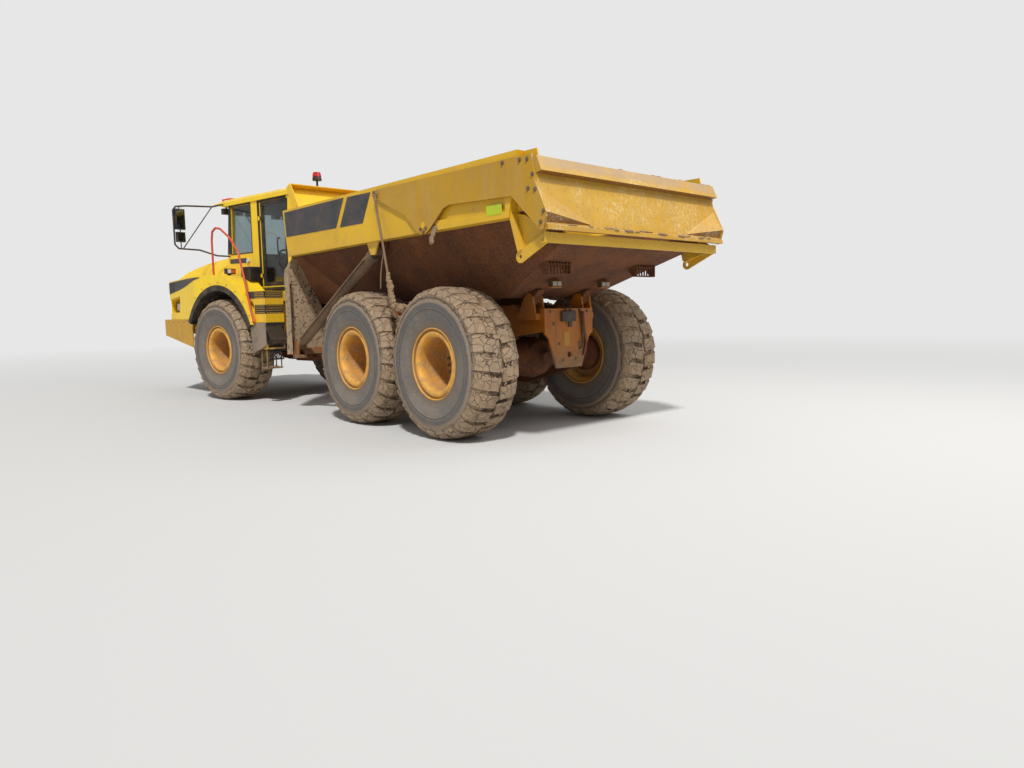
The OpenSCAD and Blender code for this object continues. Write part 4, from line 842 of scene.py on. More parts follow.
class Workshop:
    def __init__(self, frame: dict) -> None:
        """Keeps the loaded frame.
        """
        self.frame = frame
        self.count = 0

    def piece(self, name: str, body: str, finish: Finish, mesh: Mesh, unit: Unit | None = None,
              bevel: float = 0.0, smooth: bool = False) -> bpy.types.Object:
        """Turns a mesh into a piece that rides on a body.

        Args:
            name: the piece's name.
            body: the CAD body it moves with.
            finish: its finish.
            mesh: the mesh, in the unit's axes.
            unit: the unit it is drawn in, or None for the row frame.
            bevel: width of the rounded edges, in metres.
            smooth: whether its faces are shaded smooth.

        Returns:
            The new object.
        """
        if unit is not None:
            bmesh.ops.transform(mesh, matrix=unit.place(), verts=mesh.verts)
        bmesh.ops.remove_doubles(mesh, verts=mesh.verts, dist=1e-5)
        bmesh.ops.recalc_face_normals(mesh, faces=mesh.faces)
        for face in mesh.faces:
            face.smooth = smooth
        data = bpy.data.meshes.new(name)
        mesh.to_mesh(data)
        mesh.free()
        obj = bpy.data.objects.new(name, data)
        bpy.context.scene.collection.objects.link(obj)
        data.materials.append(finish.material())
        if bevel > 0:
            modifier = obj.modifiers.new("edges", "BEVEL")
            modifier.width = bevel
            modifier.segments = 2
            modifier.limit_method = "ANGLE"
        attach(obj, body)
        self.count += 1
        log.info("made %s, which moves with %s", name, body)
        return obj

    def repeat(self, name: str, body: str, finish: Finish, shape: Shape,
               points: Sequence[tuple[Point, Point]], unit: Unit | None, scales: Sequence[Point] = (),
               **sizes: object) -> bpy.types.Object:
        """Sets one shape on many points with Geometry Nodes and turns the result into a plain piece.

        Args:
            name: the piece's name.
            body: the CAD body it moves with.
            finish: its finish.
            shape: the shape on each point.
            points: each point's place and the way it faces, in the unit's axes.
            unit: the unit that the points are given in, or None for the row frame.
            scales: each point's stretch along the shape's own axes, if they differ.
            **sizes: the tree's named inputs.

        Returns:
            The new object.
        """
        seeds = bpy.data.meshes.new(f"{name}_points")
        seeds.from_pydata([place for place, _ in points], [], [])
        ways = seeds.attributes.new("way", "FLOAT_VECTOR", "POINT")
        for item, (_, way) in zip(ways.data, points):
            item.vector = way
        stretch = seeds.attributes.new("scale", "FLOAT_VECTOR", "POINT")
        for item, size in zip(stretch.data, scales or [(1.0, 1.0, 1.0)] * len(points)):
            item.vector = size
        holder = bpy.data.objects.new(f"{name}_points", seeds)
        bpy.context.scene.collection.objects.link(holder)
        modifier = holder.modifiers.new("repeat", "NODES")
        modifier.node_group = shape.tree()
        values = {"Finish": finish.material(), **sizes}
        for socket in modifier.node_group.interface.items_tree:
            if socket.in_out == "INPUT" and socket.name in values:
                modifier[socket.identifier] = values[socket.name]
        graph = bpy.context.evaluated_depsgraph_get()
        result = bpy.data.meshes.new_from_object(holder.evaluated_get(graph), depsgraph=graph)
        bpy.data.objects.remove(holder)
        mesh = bmesh.new()
        mesh.from_mesh(result)
        bpy.data.meshes.remove(result)
        return self.piece(name, body, finish, mesh, unit)

    def dress(self, node: str, material: bpy.types.Material) -> None:
        """Gives a CAD node one material.

        Args:
            node: the node's name.
            material: the material.
        """
        slots = self.frame["nodes"][node].data.materials
        slots.clear()
        slots.append(material)


class Shape(Enum):
    """What a repeated fitting looks like: the number of sides of its rod, a block, or a clod."""

    HEX = 6
    STUD = 8
    BLOCK = 0
    CLOD = 1

    def tree(self) -> bpy.types.NodeTree:
        """Builds the Geometry Nodes tree that sets this shape on points, turned along their ways.

        Returns:
            The tree, built once.
        """
        name = f"repeat_{self.name.lower()}"
        tree = bpy.data.node_groups.get(name)
        if tree:
            return tree
        tree = bpy.data.node_groups.new(name, "GeometryNodeTree")
        tree.interface.new_socket("Points", in_out="INPUT", socket_type="NodeSocketGeometry")
        sizes = {Shape.BLOCK: ("Size",), Shape.CLOD: ("Radius",)}.get(self, ("Radius", "Height"))
        for size in sizes:
            kind = "NodeSocketVector" if self is Shape.BLOCK else "NodeSocketFloat"
            tree.interface.new_socket(size, in_out="INPUT", socket_type=kind)
        tree.interface.new_socket("Finish", in_out="INPUT", socket_type="NodeSocketMaterial")
        tree.interface.new_socket("Fittings", in_out="OUTPUT", socket_type="NodeSocketGeometry")
        source = tree.nodes.new("NodeGroupInput")
        target = tree.nodes.new("NodeGroupOutput")
        if self is Shape.BLOCK:
            shape = tree.nodes.new("GeometryNodeMeshCube")
            tree.links.new(source.outputs["Size"], shape.inputs["Size"])
        elif self is Shape.CLOD:
            shape = tree.nodes.new("GeometryNodeMeshIcoSphere")
            tree.links.new(source.outputs["Radius"], shape.inputs["Radius"])
        else:
            shape = tree.nodes.new("GeometryNodeMeshCylinder")
            shape.inputs["Vertices"].default_value = self.value
            tree.links.new(source.outputs["Radius"], shape.inputs["Radius"])
            tree.links.new(source.outputs["Height"], shape.inputs["Depth"])
        way = tree.nodes.new("GeometryNodeInputNamedAttribute")
        way.data_type = "FLOAT_VECTOR"
        way.inputs["Name"].default_value = "way"
        turn = tree.nodes.new("FunctionNodeAlignRotationToVector")
        turn.axis = "Z"
        tree.links.new(way.outputs["Attribute"], turn.inputs["Vector"])
        place = tree.nodes.new("GeometryNodeInstanceOnPoints")
        tree.links.new(source.outputs["Points"], place.inputs["Points"])
        tree.links.new(shape.outputs["Mesh"], place.inputs["Instance"])
        tree.links.new(turn.outputs["Rotation"], place.inputs["Rotation"])
        scale = tree.nodes.new("GeometryNodeInputNamedAttribute")
        scale.data_type = "FLOAT_VECTOR"
        scale.inputs["Name"].default_value = "scale"
        tree.links.new(scale.outputs["Attribute"], place.inputs["Scale"])
        real = tree.nodes.new("GeometryNodeRealizeInstances")
        tree.links.new(place.outputs["Instances"], real.inputs["Geometry"])
        paint = tree.nodes.new("GeometryNodeSetMaterial")
        tree.links.new(real.outputs["Geometry"], paint.inputs["Geometry"])
        tree.links.new(source.outputs["Finish"], paint.inputs["Material"])
        tree.links.new(paint.outputs["Geometry"], target.inputs["Fittings"])
        return tree


def add_box(mesh: Mesh, low: Sequence[float], high: Sequence[float]) -> None:
    """Adds a box from its lowest and highest corners.

    Args:
        mesh: the mesh to add to.
        low: the lowest corner.
        high: the highest corner.
    """
    size = [high[i] - low[i] for i in range(3)]
    centre = [(high[i] + low[i]) / 2 for i in range(3)]
    place = Matrix.Translation(centre) @ Matrix.Diagonal((*size, 1.0))
    bmesh.ops.create_cube(mesh, size=1.0, matrix=place)


def add_side_box(mesh: Mesh, sign: float, low: Sequence[float], high: Sequence[float]) -> None:
    """Adds a box on the side of sign, from its corners on the left side.

    Args:
        mesh: the mesh to add to.
        sign: the side's sign.
        low: the lowest corner on the left side.
        high: the highest corner on the left side.
    """
    near, far = sorted((sign * low[1], sign * high[1]))
    add_box(mesh, (low[0], near, low[2]), (high[0], far, high[2]))


def add_rod(mesh: Mesh, start: Sequence[float], end: Sequence[float], radius: float,
            sides: int = 16, radius_end: float | None = None) -> None:
    """Adds a closed round rod between two points.

    Args:
        mesh: the mesh to add to.
        start: the middle of one end.
        end: the middle of the other end.
        radius: its radius at the start.
        sides: flat sides round it.
        radius_end: its radius at the end, if it tapers.
    """
    a, b = Vector(start), Vector(end)
    turn = (b - a).to_track_quat("Z", "Y").to_matrix().to_4x4()
    bmesh.ops.create_cone(mesh, cap_ends=True, segments=sides, radius1=radius,
                          radius2=radius if radius_end is None else radius_end, depth=(b - a).length,
                          matrix=Matrix.Translation((a + b) / 2) @ turn)


def add_plate(mesh: Mesh, outline: Path, depth: Sequence[float]) -> None:
    """Adds a plate with a planar outline of 3D points, thickened by a vector.

    Args:
        mesh: the mesh to add to.
        outline: its corners in order.
        depth: the way and distance to its other face.
    """
    low = [mesh.verts.new(Vector(p)) for p in outline]
    high = [mesh.verts.new(Vector(p) + Vector(depth)) for p in outline]
    count = len(low)
    mesh.faces.new(low)
    mesh.faces.new(high[::-1])
    for i in range(count):
        j = (i + 1) % count
        mesh.faces.new((low[i], high[i], high[j], low[j]))


def add_tube(mesh: Mesh, points: Path, radius: float, sides: int = 8) -> None:
    """Adds a round tube through points, with closed ends.

    Args:
        mesh: the mesh to add to.
        points: the middle line.
        radius: its radius.
        sides: flat sides round it.
    """
    path = [Vector(p) for p in points]
    rings: list[list[bmesh.types.BMVert]] = []
    side = Vector((0.0, 0.0, 1.0))
    for i, point in enumerate(path):
        before = path[i] - path[i - 1] if i else path[1] - path[0]
        after = path[i + 1] - path[i] if i + 1 < len(path) else before
        along = (before.normalized() + after.normalized()).normalized()
        side = side - along * side.dot(along)
        if side.length < 1e-3:
            side = along.orthogonal()
        side.normalize()
        other = along.cross(side)
        rings.append([mesh.verts.new(point + radius * (math.cos(a) * side + math.sin(a) * other))
                      for a in (2 * math.pi * k / sides for k in range(sides))])
    for ring, following in zip(rings, rings[1:]):
        for k in range(sides):
            j = (k + 1) % sides
            mesh.faces.new((ring[k], following[k], following[j], ring[j]))
    mesh.faces.new(rings[0])
    mesh.faces.new(rings[-1][::-1])


def smooth_path(points: Path, steps: int = 6) -> list[Vector]:
    """Returns a Catmull-Rom curve through the points, as short steps.

    Args:
        points: what the curve passes through.
        steps: steps from one point to the next.

    Returns:
        The points of the curve.
    """
    pts = [Vector(p) for p in points]
    pts = [2 * pts[0] - pts[1], *pts, 2 * pts[-1] - pts[-2]]
    out: list[Vector] = []
    for a, b, c, d in zip(pts, pts[1:], pts[2:], pts[3:]):
        for k in range(steps):
            t = k / steps
            out.append(0.5 * (2 * b + (c - a) * t + (2 * a - 5 * b + 4 * c - d) * t * t
                              + (3 * b - a - 3 * c + d) * t ** 3))
    out.append(pts[-2])
    return out


@dataclass(frozen=True)
class PhotoCamera:
    """The camera that the photograph was taken with, as solved from the wheels and the body's edges."""

    place: Point = (-7.836, 5.810, 1.360)
    yaw: float = math.radians(-41.86)
    pitch: float = math.radians(-5.86)
    roll: float = math.radians(-1.07)
    focal_px: float = 722.7
    width_px: int = 1024

    def build(self) -> bpy.types.Object:
        """Makes it the scene's camera.

        Returns:
            The camera.
        """
        data = bpy.data.cameras.new("photo")
        data.sensor_width = 36.0
        data.lens = self.focal_px / self.width_px * data.sensor_width
        data.clip_start, data.clip_end = 0.1, 200.0
        camera = bpy.data.objects.new("photo", data)
        bpy.context.scene.collection.objects.link(camera)
        level = math.cos(self.pitch)
        ahead = Vector((math.cos(self.yaw) * level, math.sin(self.yaw) * level, math.sin(self.pitch)))
        right = Vector((math.sin(self.yaw), -math.cos(self.yaw), 0.0))
        up = right.cross(ahead)
        c, s = math.cos(self.roll), math.sin(self.roll)
        right, up = c * right + s * up, -s * right + c * up
        turn = Matrix((right, up, -ahead)).transposed().to_4x4()
        camera.matrix_world = Matrix.Translation(rear_point(*self.place)) @ turn
        bpy.context.scene.camera = camera
        return camera


@dataclass
class Studio:
    """Plain pale floor, soft lights and a bright world."""

    reach: float = 60.0
    ground: Colour = (0.62, 0.61, 0.59)
    haze: Colour = (0.8, 0.8, 0.8)
    haze_from: float = 9.0
    haze_full: float = 26.0
    sun_strength: float = 2.75
    sun_angle: float = math.radians(5.0)
    sun_way: Point = (0.66, -0.52, -1.10)
    sky: float = 0.42
    sky_colour: Colour = (0.93, 0.96, 1.0)
    fill_place: Point = (-9.0, -3.0, 9.0)
    fill_target: Point = (-2.0, 0.0, 1.0)
    fill_power: float = 400.0
    fill_size: float = 7.0

    def floor(self) -> None:
        """Makes the floor, which is pale and keeps the truck's shadow."""
        mesh = bpy.data.meshes.new("floor")
        half = self.reach
        corners = [(-half, -half, 0), (half, -half, 0), (half, half, 0), (-half, half, 0)]
        mesh.from_pydata(corners, [], [(0, 1, 2, 3)])
        floor = bpy.data.objects.new("floor", mesh)
        bpy.context.scene.collection.objects.link(floor)
        material = bpy.data.materials.new("floor")
        t = Tree(material)
        matt = t.add("ShaderNodeBsdfPrincipled", Base_Color=self.ground, Roughness=1.0,
                     Specular_IOR_Level=0.0)
        path = t.tree.nodes.new("ShaderNodeLightPath")
        away = t.ramp(t.length(t.coords.outputs["Object"]), self.haze_from, self.haze_full)
        glow = t.add("ShaderNodeEmission", Color=self.haze, Strength=1.0)
        t.layered(t.times(away, path.outputs["Is Camera Ray"]), matt, glow)
        mesh.materials.append(material)

    def shine(self, light: bpy.types.Light, place: Point, way: Vector) -> None:
        """Sets a light at a place, to shine along a way.

        Args:
            light: the light.
            place: where it stands.
            way: where it shines.
        """
        lamp = bpy.data.objects.new(light.name, light)
        bpy.context.scene.collection.objects.link(lamp)
        lamp.matrix_world = Matrix.Translation(place) @ way.to_track_quat("-Z", "Y").to_matrix().to_4x4()

    def lights(self) -> None:
        """Makes a soft sun high on the left and a broad fill."""
        sun = bpy.data.lights.new("sun", "SUN")
        sun.energy = self.sun_strength
        sun.angle = self.sun_angle
        self.shine(sun, (0.0, 0.0, 0.0), Vector(self.sun_way))
        fill = bpy.data.lights.new("fill", "AREA")
        fill.energy = self.fill_power
        fill.shape = "DISK"
        fill.size = self.fill_size
        self.shine(fill, self.fill_place, Vector(self.fill_target) - Vector(self.fill_place))

    def sky_dome(self) -> None:
        """Makes the world: a soft sky that lights the truck, and white where the camera sees it."""
        world = bpy.data.worlds.new("studio")
        bpy.context.scene.world = world
        world.use_nodes = True
        tree = world.node_tree
        tree.nodes.clear()
        output = tree.nodes.new("ShaderNodeOutputWorld")
        light = tree.nodes.new("ShaderNodeBackground")
        light.inputs["Color"].default_value = (*self.sky_colour, 1.0)
        light.inputs["Strength"].default_value = self.sky
        white = tree.nodes.new("ShaderNodeBackground")
        white.inputs["Strength"].default_value = 1.0
        path = tree.nodes.new("ShaderNodeLightPath")
        mixed = tree.nodes.new("ShaderNodeMixShader")
        tree.links.new(path.outputs["Is Camera Ray"], mixed.inputs[0])
        tree.links.new(light.outputs[0], mixed.inputs[1])
        tree.links.new(white.outputs[0], mixed.inputs[2])
        tree.links.new(mixed.outputs[0], output.inputs["Surface"])

    def build(self) -> None:
        """Makes the floor, the lights and the world."""
        self.floor()
        self.lights()
        self.sky_dome()
        bpy.context.scene.view_settings.view_transform = "Standard"


@dataclass
class CastSolids:
    """The CAD nodes that keep their shape, and the finish of each."""

    shop: Workshop
    finishes: dict[str, Finish] = field(default_factory=lambda: {
        "rear_frame": Finish.FRAME_YELLOW, "rear_axles": Finish.MUD_STEEL, "mud_guards": Finish.FLAP,
        "bed": Finish.BED_YELLOW, "bed_guard": Finish.GUARD_YELLOW, "tailgate": Finish.GATE_YELLOW_SHADED,
        "tip_barrel_left": Finish.STEEL, "tip_barrel_right": Finish.STEEL, "tip_rod_left": Finish.STEEL,
        "tip_rod_right": Finish.STEEL, "gate_ropes": Finish.ROPE, "hitch": Finish.FRAME_YELLOW,
        "front_frame": Finish.MUD_STEEL, "bumper": Finish.BUMPER_YELLOW_SHADED, "engine": Finish.PLASTIC,
        "front_axle": Finish.MUD_STEEL, "driveline": Finish.MUD_STEEL, "hood": Finish.CAB_YELLOW,
        "grille": Finish.PLASTIC, "fenders": Finish.CAB_YELLOW, "arch_edges": Finish.ARCH_RUBBER,
        "lamps": Finish.PLASTIC, "cab": Finish.CAB_YELLOW, "cab_roof": Finish.CAB_YELLOW,
        "cab_glass": Finish.GLASS, "cab_door": Finish.SEAL, "door_glass": Finish.GLASS,
        "cab_interior": Finish.FABRIC, "platforms": Finish.STEP_YELLOW, "handrails": Finish.ORANGE,
        "mirrors": Finish.PLASTIC, "exhaust": Finish.PLASTIC,
        "steer_barrel_left": Finish.STEEL, "steer_barrel_right": Finish.STEEL,
        "steer_rod_left": Finish.CHROME, "steer_rod_right": Finish.CHROME})

    def build(self) -> None:
        """Gives each node its finish, and each wheel one that follows its axle."""
        for node, finish in self.finishes.items():
            self.shop.dress(node, finish.material())
        wheels = wheel_places()
        for name, (centre, turn) in wheels.items():
            tyre, rim = (WheelFinish(f"{part}_{name}", tuple(centre), turn) for part in ("tyre", "rim"))
            self.shop.dress(f"tyre_{name}", tyre.tyre())
            self.shop.dress(f"rim_{name}", rim.rim())
        log.info("dressed %d solids", len(self.finishes) + 2 * len(wheels))


def add_lump(mesh: Mesh, centre: Sequence[float], size: Sequence[float], seed: int,
             rough: float = 0.28, detail: int = 3) -> None:
    """Adds a closed lump of dried clay.

    Args:
        mesh: the mesh to add to.
        centre: the lump's middle.
        size: its half extents.
        seed: fixes its shape.
        rough: how far its surface moves in and out, as a share of its radius.
        detail: subdivisions of the ball it starts from.
    """
    made = bmesh.ops.create_icosphere(mesh, subdivisions=detail, radius=1.0)
    shift = Vector((seed * 7.31, seed * 3.17, seed * 1.93))
    for vert in made["verts"]:
        way = vert.co.normalized()
        swell = noise.noise(way * 1.6 + shift) + 0.5 * noise.noise(way * 4.1 + shift) \
            + 0.25 * noise.noise(way * 9.0 + shift)
        reach = 1.0 + rough * swell
        vert.co = Vector(centre) + Vector(tuple(way[i] * size[i] * reach for i in range(3)))


def add_bolt(mesh: Mesh, place: Sequence[float], way: Sequence[float], radius: float = 0.016,
             height: float = 0.012) -> None:
    """Adds a hexagon bolt head on a washer, standing on a surface at place and pointing along way.

    Args:
        mesh: the mesh to add to.
        place: the middle of its foot.
        way: where it points.
        radius: of the head.
        height: of the head with its washer.
    """
    start, along = Vector(place), Vector(way).normalized()
    add_rod(mesh, start, start + along * 0.003, radius * 1.35, 16)
    add_rod(mesh, start + along * 0.003, start + along * height, radius, 6)


@dataclass
class Trim:
    """Pieces that are drawn on one unit of the truck and move with one body."""

    shop: Workshop
    body: str = "tractor"
    unit: Unit = Unit.FRONT

    def fix(self, name: str, finish: Finish, mesh: Mesh, bevel: float = 0.0, smooth: bool = False) -> None:
        """Makes a piece on the body."""
        self.shop.piece(name, self.body, finish, mesh, self.unit, bevel, smooth)

    def repeat(self, name: str, finish: Finish, shape: Shape, points: Sequence[tuple[Point, Point]],
               **sizes: object) -> None:
        """Sets a shape on many points of the body."""
        self.shop.repeat(name, self.body, finish, shape, points, self.unit, **sizes)


@dataclass
class LoadBoxTrim(Trim):
    """What is fixed to the load box: blank side panels, reflectors, clay on its sides and floor."""

    body: str = "bed"
    unit: Unit = Unit.REAR
    side_y: float = 1.350
    plate: float = 0.004
    long_panel: Outline = ((1.762, 2.745), (0.122, 2.742), (0.335, 2.402), (1.726, 2.412))
    short_panel: Outline = ((0.030, 2.738), (-0.498, 2.728), (-0.300, 2.398), (0.238, 2.400))
    reflector: Outline = ((-2.54, 2.330), (-2.76, 2.330), (-2.77, 2.240), (-2.55, 2.238))
    floor_lumps: int = 26

    def panels(self, sign: float) -> None:
        """Makes the two blank dark panels on one side.

        Args:
            sign: the side's sign.
        """
        mesh = bmesh.new()
        for outline in (self.long_panel, self.short_panel):
            add_plate(mesh, [(x, sign * self.side_y, z) for x, z in outline], (0.0, sign * self.plate, 0.0))
        self.fix(f"blank_panels_{SIDES[sign]}", Finish.PANEL, mesh)

    def reflectors(self) -> None:
        """Makes the reflector patches low on both sides near the rear."""
        mesh = bmesh.new()
        for sign in SIDES:
            outline = [(x, sign * self.side_y, z) for x, z in self.reflector]
            add_plate(mesh, outline, (0.0, sign * 0.003, 0.0))
        self.fix("side_reflectors", Finish.REFLECT, mesh)

    def clay(self) -> None:
        """Makes clay caught at the cylinders' heads, on the sides and on the floor of the box."""
        mesh = bmesh.new()
        rng = random.Random(5)
        for sign in SIDES:
            for k in range(5):
                x, y = -1.735 + 0.03 * rng.uniform(-1, 1), sign * (1.352 + 0.012 * k % 2)
                add_lump(mesh, (x, y, 2.21 - 0.035 * k), (0.035, 0.014, 0.03), 11 + k, 0.4)
        for k in range(self.floor_lumps):
            x, y = rng.uniform(-1.9, 0.9), rng.uniform(-0.58, 0.58)
            size = rng.uniform(0.03, 0.09)
            add_lump(mesh, (x, y, 1.508), (size * 1.6, size * 1.3, size * 0.45), 40 + k, 0.4)
        self.fix("clay_in_box", Finish.CLAY_LUMP, mesh, smooth=True)

    def build(self) -> None:
        """Makes all the trim of the load box."""
        for sign in SIDES:
            self.panels(sign)
        self.reflectors()
        self.clay()


@dataclass
class GateTrim(Trim):
    """Bolts of the tailgate's arms and clay on its ledges."""

    body: str = "tailgate"
    unit: Unit = Unit.REAR
    arm_face: float = 1.378
    bolts: Outline = (
        (-3.044, 2.672), (-3.140, 2.664), (-3.205, 2.528), (-3.147, 2.413), (-3.235, 2.395),
        (-3.300, 2.110), (-3.335, 2.200), (-2.814, 2.680), (-1.553, 2.180), (-1.600, 2.215),
        (-1.506, 2.215))
    ledges: Outline = ((-3.345, 2.098), (-3.365, 2.086), (-3.21, 2.687))
    lumps: int = 46

    def build(self) -> None:
        """Makes the bolt heads on both arms, then clay along the ledge and rail."""
        mesh = bmesh.new()
        for sign in SIDES:
            for x, z in self.bolts:
                add_bolt(mesh, (x, sign * self.arm_face, z), (0.0, sign, 0.0), 0.015, 0.014)
        self.fix("gate_bolts", Finish.BOLT, mesh)
        mesh = bmesh.new()
        rng = random.Random(9)
        for k in range(self.lumps):
            y = rng.uniform(-1.3, 1.3)
            size = rng.uniform(0.012, 0.03)
            x, z = self.ledges[k % 3]
            add_lump(mesh, (x, y, z), (size * 0.7, size * 1.8, size * 0.4), 80 + k, 0.45, 2)
        self.fix("gate_clay", Finish.CLAY_LUMP, mesh, smooth=True)


@dataclass
class RopeTrim(Trim):
    """Clay that hangs on the gate ropes, and the loose tails of their knots."""

    body: str = "ropes"
    unit: Unit = Unit.REAR
    foot: Point = (-0.985, 1.407, 1.395)
    top: Point = (-0.668, 1.407, 2.686)
    swells: tuple[float, ...] = (0.05, 0.058, 0.05, 0.046, 0.05, 0.062, 0.052, 0.036, 0.022)

    def along(self, share: float, sign: float) -> Vector:
        """Returns the point at a share of one rope's length from its foot.

        Args:
            share: 0 at the foot, 1 at the top.
            sign: the side's sign.

        Returns:
            The point.
        """
        a, b = Vector(self.foot), Vector(self.top)
        point = a.lerp(b, share)
        return Vector((point.x, sign * point.y, point.z))

    def build(self) -> None:
        """Makes the lumps and the tails."""
        clay, tails = bmesh.new(), bmesh.new()
        rng = random.Random(3)
        for sign in SIDES:
            for k, swell in enumerate(self.swells):
                at = self.along(0.03 + 0.032 * k, sign) + Vector((rng.uniform(-0.01, 0.01), 0.0, 0.0))
                add_lump(clay, at, (swell, min(swell, 0.022), 0.042), 150 + k + int(sign), 0.45)
            for k in range(3):
                at = self.along(0.94 + 0.02 * k, sign)
                add_lump(clay, at, (0.022, 0.018, 0.022), 170 + k, 0.35, 2)
            start = self.along(0.50, sign)
            end = start + Vector((0.09, 0.004 * sign, -0.42))
            middle = start.lerp(end, 0.5) + Vector((0.022, 0.0, 0.0))
            add_tube(tails, smooth_path([start, middle, end], 8), 0.0075, 8)
            loop = self.along(0.985, sign)
            angles = [2 * math.pi * k / 14 for k in range(15)]
            wrap = [loop + 0.03 * Vector((math.cos(a), 0.0, math.sin(a)))
                    + Vector((0.0, 0.004 * math.sin(3 * a), 0.0)) for a in angles]
            add_tube(tails, wrap, 0.008, 8)
        self.fix("rope_clay", Finish.CLAY_LUMP, clay, smooth=True)
        self.fix("rope_tails", Finish.ROPE, tails, smooth=True)


@dataclass
class RearFrameTrim(Trim):
    """Rear end of the frame: lamps, hoses, valve cover, blank label, pipe, bolts and clay."""

    body: str = "rear"
    unit: Unit = Unit.REAR
    plate_x: float = -2.315

    def lamps(self) -> None:
        """Makes the two small rear lamps on orange brackets under the load box."""
        mesh, lens, arm = bmesh.new(), bmesh.new(), bmesh.new()
        for y in (0.385, -0.385):
            add_box(mesh, (-2.512, y - 0.070, 1.592), (-2.452, y + 0.070, 1.652))
            for side in (-0.034, 0.034):
                add_box(lens, (-2.517, y + side - 0.028, 1.599), (-2.5115, y + side + 0.028, 1.645))
            tab = [(-2.458, y - 0.055, 1.648), (-2.458, y + 0.055, 1.648), (-2.420, y + 0.055, 1.730),
                   (-2.420, y - 0.055, 1.730)]
            add_plate(arm, tab, (-0.006, 0.0, -0.003))
            add_box(arm, (-2.508, y - 0.078, 1.580), (-2.448, y + 0.078, 1.592))
        self.shop.piece("rear_lamp_boxes", "bed", Finish.PLASTIC, mesh, Unit.REAR, bevel=0.004)
        self.shop.piece("rear_lamp_lenses", "bed", Finish.DULL_LENS, lens, Unit.REAR)
        self.shop.piece("rear_lamp_brackets", "bed", Finish.FRAME_YELLOW, arm, Unit.REAR, bevel=0.003)

    def hoses(self) -> None:
        """Makes hoses that run from the rail over the end plate and along the axle."""
        mesh = bmesh.new()
        x = self.plate_x
        runs = [
            [(x + 0.35, 0.10, 1.28), (x + 0.06, 0.07, 1.366), (x - 0.014, 0.06, 1.338),
             (x - 0.018, 0.05, 1.20)],
            [(x + 0.35, 0.02, 1.28), (x + 0.06, 0.00, 1.368), (x - 0.014, -0.01, 1.338),
             (x - 0.018, -0.02, 1.22)],
            [(x + 0.4, -0.14, 1.26), (x + 0.06, -0.15, 1.366), (x - 0.014, -0.165, 1.32),
             (x - 0.02, -0.20, 1.05), (x - 0.02, -0.17, 0.93), (x + 0.1, -0.12, 0.90)]]
        for run in runs:
            add_tube(mesh, smooth_path(run, 7), 0.010, 8)
        for sign in SIDES:
            for k in range(2):
                lift = 0.05 * k
                run = [(1.60, sign * 0.28, 1.22 + lift), (1.9, sign * 0.24, 1.30 + lift),
                       (2.2, sign * 0.14, 1.34 + lift), (2.4, sign * 0.09, 1.32 + lift)]
                add_tube(mesh, smooth_path(run, 8), 0.014, 8)
        self.fix("frame_hoses", Finish.HOSE, mesh, smooth=True)

    def fittings(self) -> None:
        """Makes the valve cover, the blank label, the pipe and the bolts of the end plate and rails."""
        mesh = bmesh.new()
        x = self.plate_x
        add_box(mesh, (x - 0.034, -0.077, 1.225), (x - 0.001, 0.139, 1.338))
        add_box(mesh, (x - 0.02, -0.030, 1.160), (x - 0.001, 0.020, 1.246))
        self.fix("valve_cover", Finish.PLASTIC, mesh, bevel=0.006)
        label = bmesh.new()
        add_box(label, (x - 0.003, -0.004, 0.956), (x - 0.0005, 0.084, 1.111))
        self.fix("end_plate_label", Finish.LABEL, label)
        pipe = bmesh.new()
        run = [(x - 0.018, -0.201, 1.330), (x - 0.022, -0.205, 1.20), (x - 0.020, -0.245, 0.98),
               (x - 0.016, -0.215, 0.84)]
        add_tube(pipe, smooth_path(run, 6), 0.017, 10)
        self.fix("end_plate_pipe", Finish.RED_PIPE, pipe, smooth=True)
        bolts = bmesh.new()
        for y, z in ((0.10, 0.80), (0.16, 0.98), (0.24, 1.20), (0.29, 1.33)):
            for sign in SIDES:
                add_bolt(bolts, (x, sign * y, z), (-1.0, 0.0, 0.0), 0.014, 0.014)
        for sign in SIDES:
            for k in range(4):
                add_bolt(bolts, (-1.02 + 0.12 * k, sign * 0.380, 1.12), (0.0, sign, 0.0), 0.014, 0.014)
        self.fix("frame_bolts", Finish.BOLT, bolts)

    def clay(self) -> None:
        """Makes heaps of clay on the brackets of the ropes and on the beams between the wheels."""
        mesh = bmesh.new()
        rng = random.Random(17)
        for sign in SIDES:
            for k in range(15):
                at = (-0.985 + rng.uniform(-0.06, 0.06), sign * rng.uniform(0.95, 1.385),
                      1.385 + rng.uniform(-0.01, 0.03))
                size = (rng.uniform(0.03, 0.07), rng.uniform(0.02, 0.04), rng.uniform(0.02, 0.05))
                add_lump(mesh, at, size, 200 + k, 0.45)
            for k in range(10):
                add_lump(mesh, (-0.835 + rng.uniform(-0.2, 0.2), sign * 0.56, 0.69),
                         (rng.uniform(0.04, 0.08), 0.04, 0.025), 230 + k, 0.4, 2)
        self.fix("frame_clay", Finish.CLAY_LUMP, mesh, smooth=True)

    def build(self) -> None:
        """Makes all the trim of the rear frame."""
        self.lamps()
        self.hoses()
        self.fittings()
        self.clay()


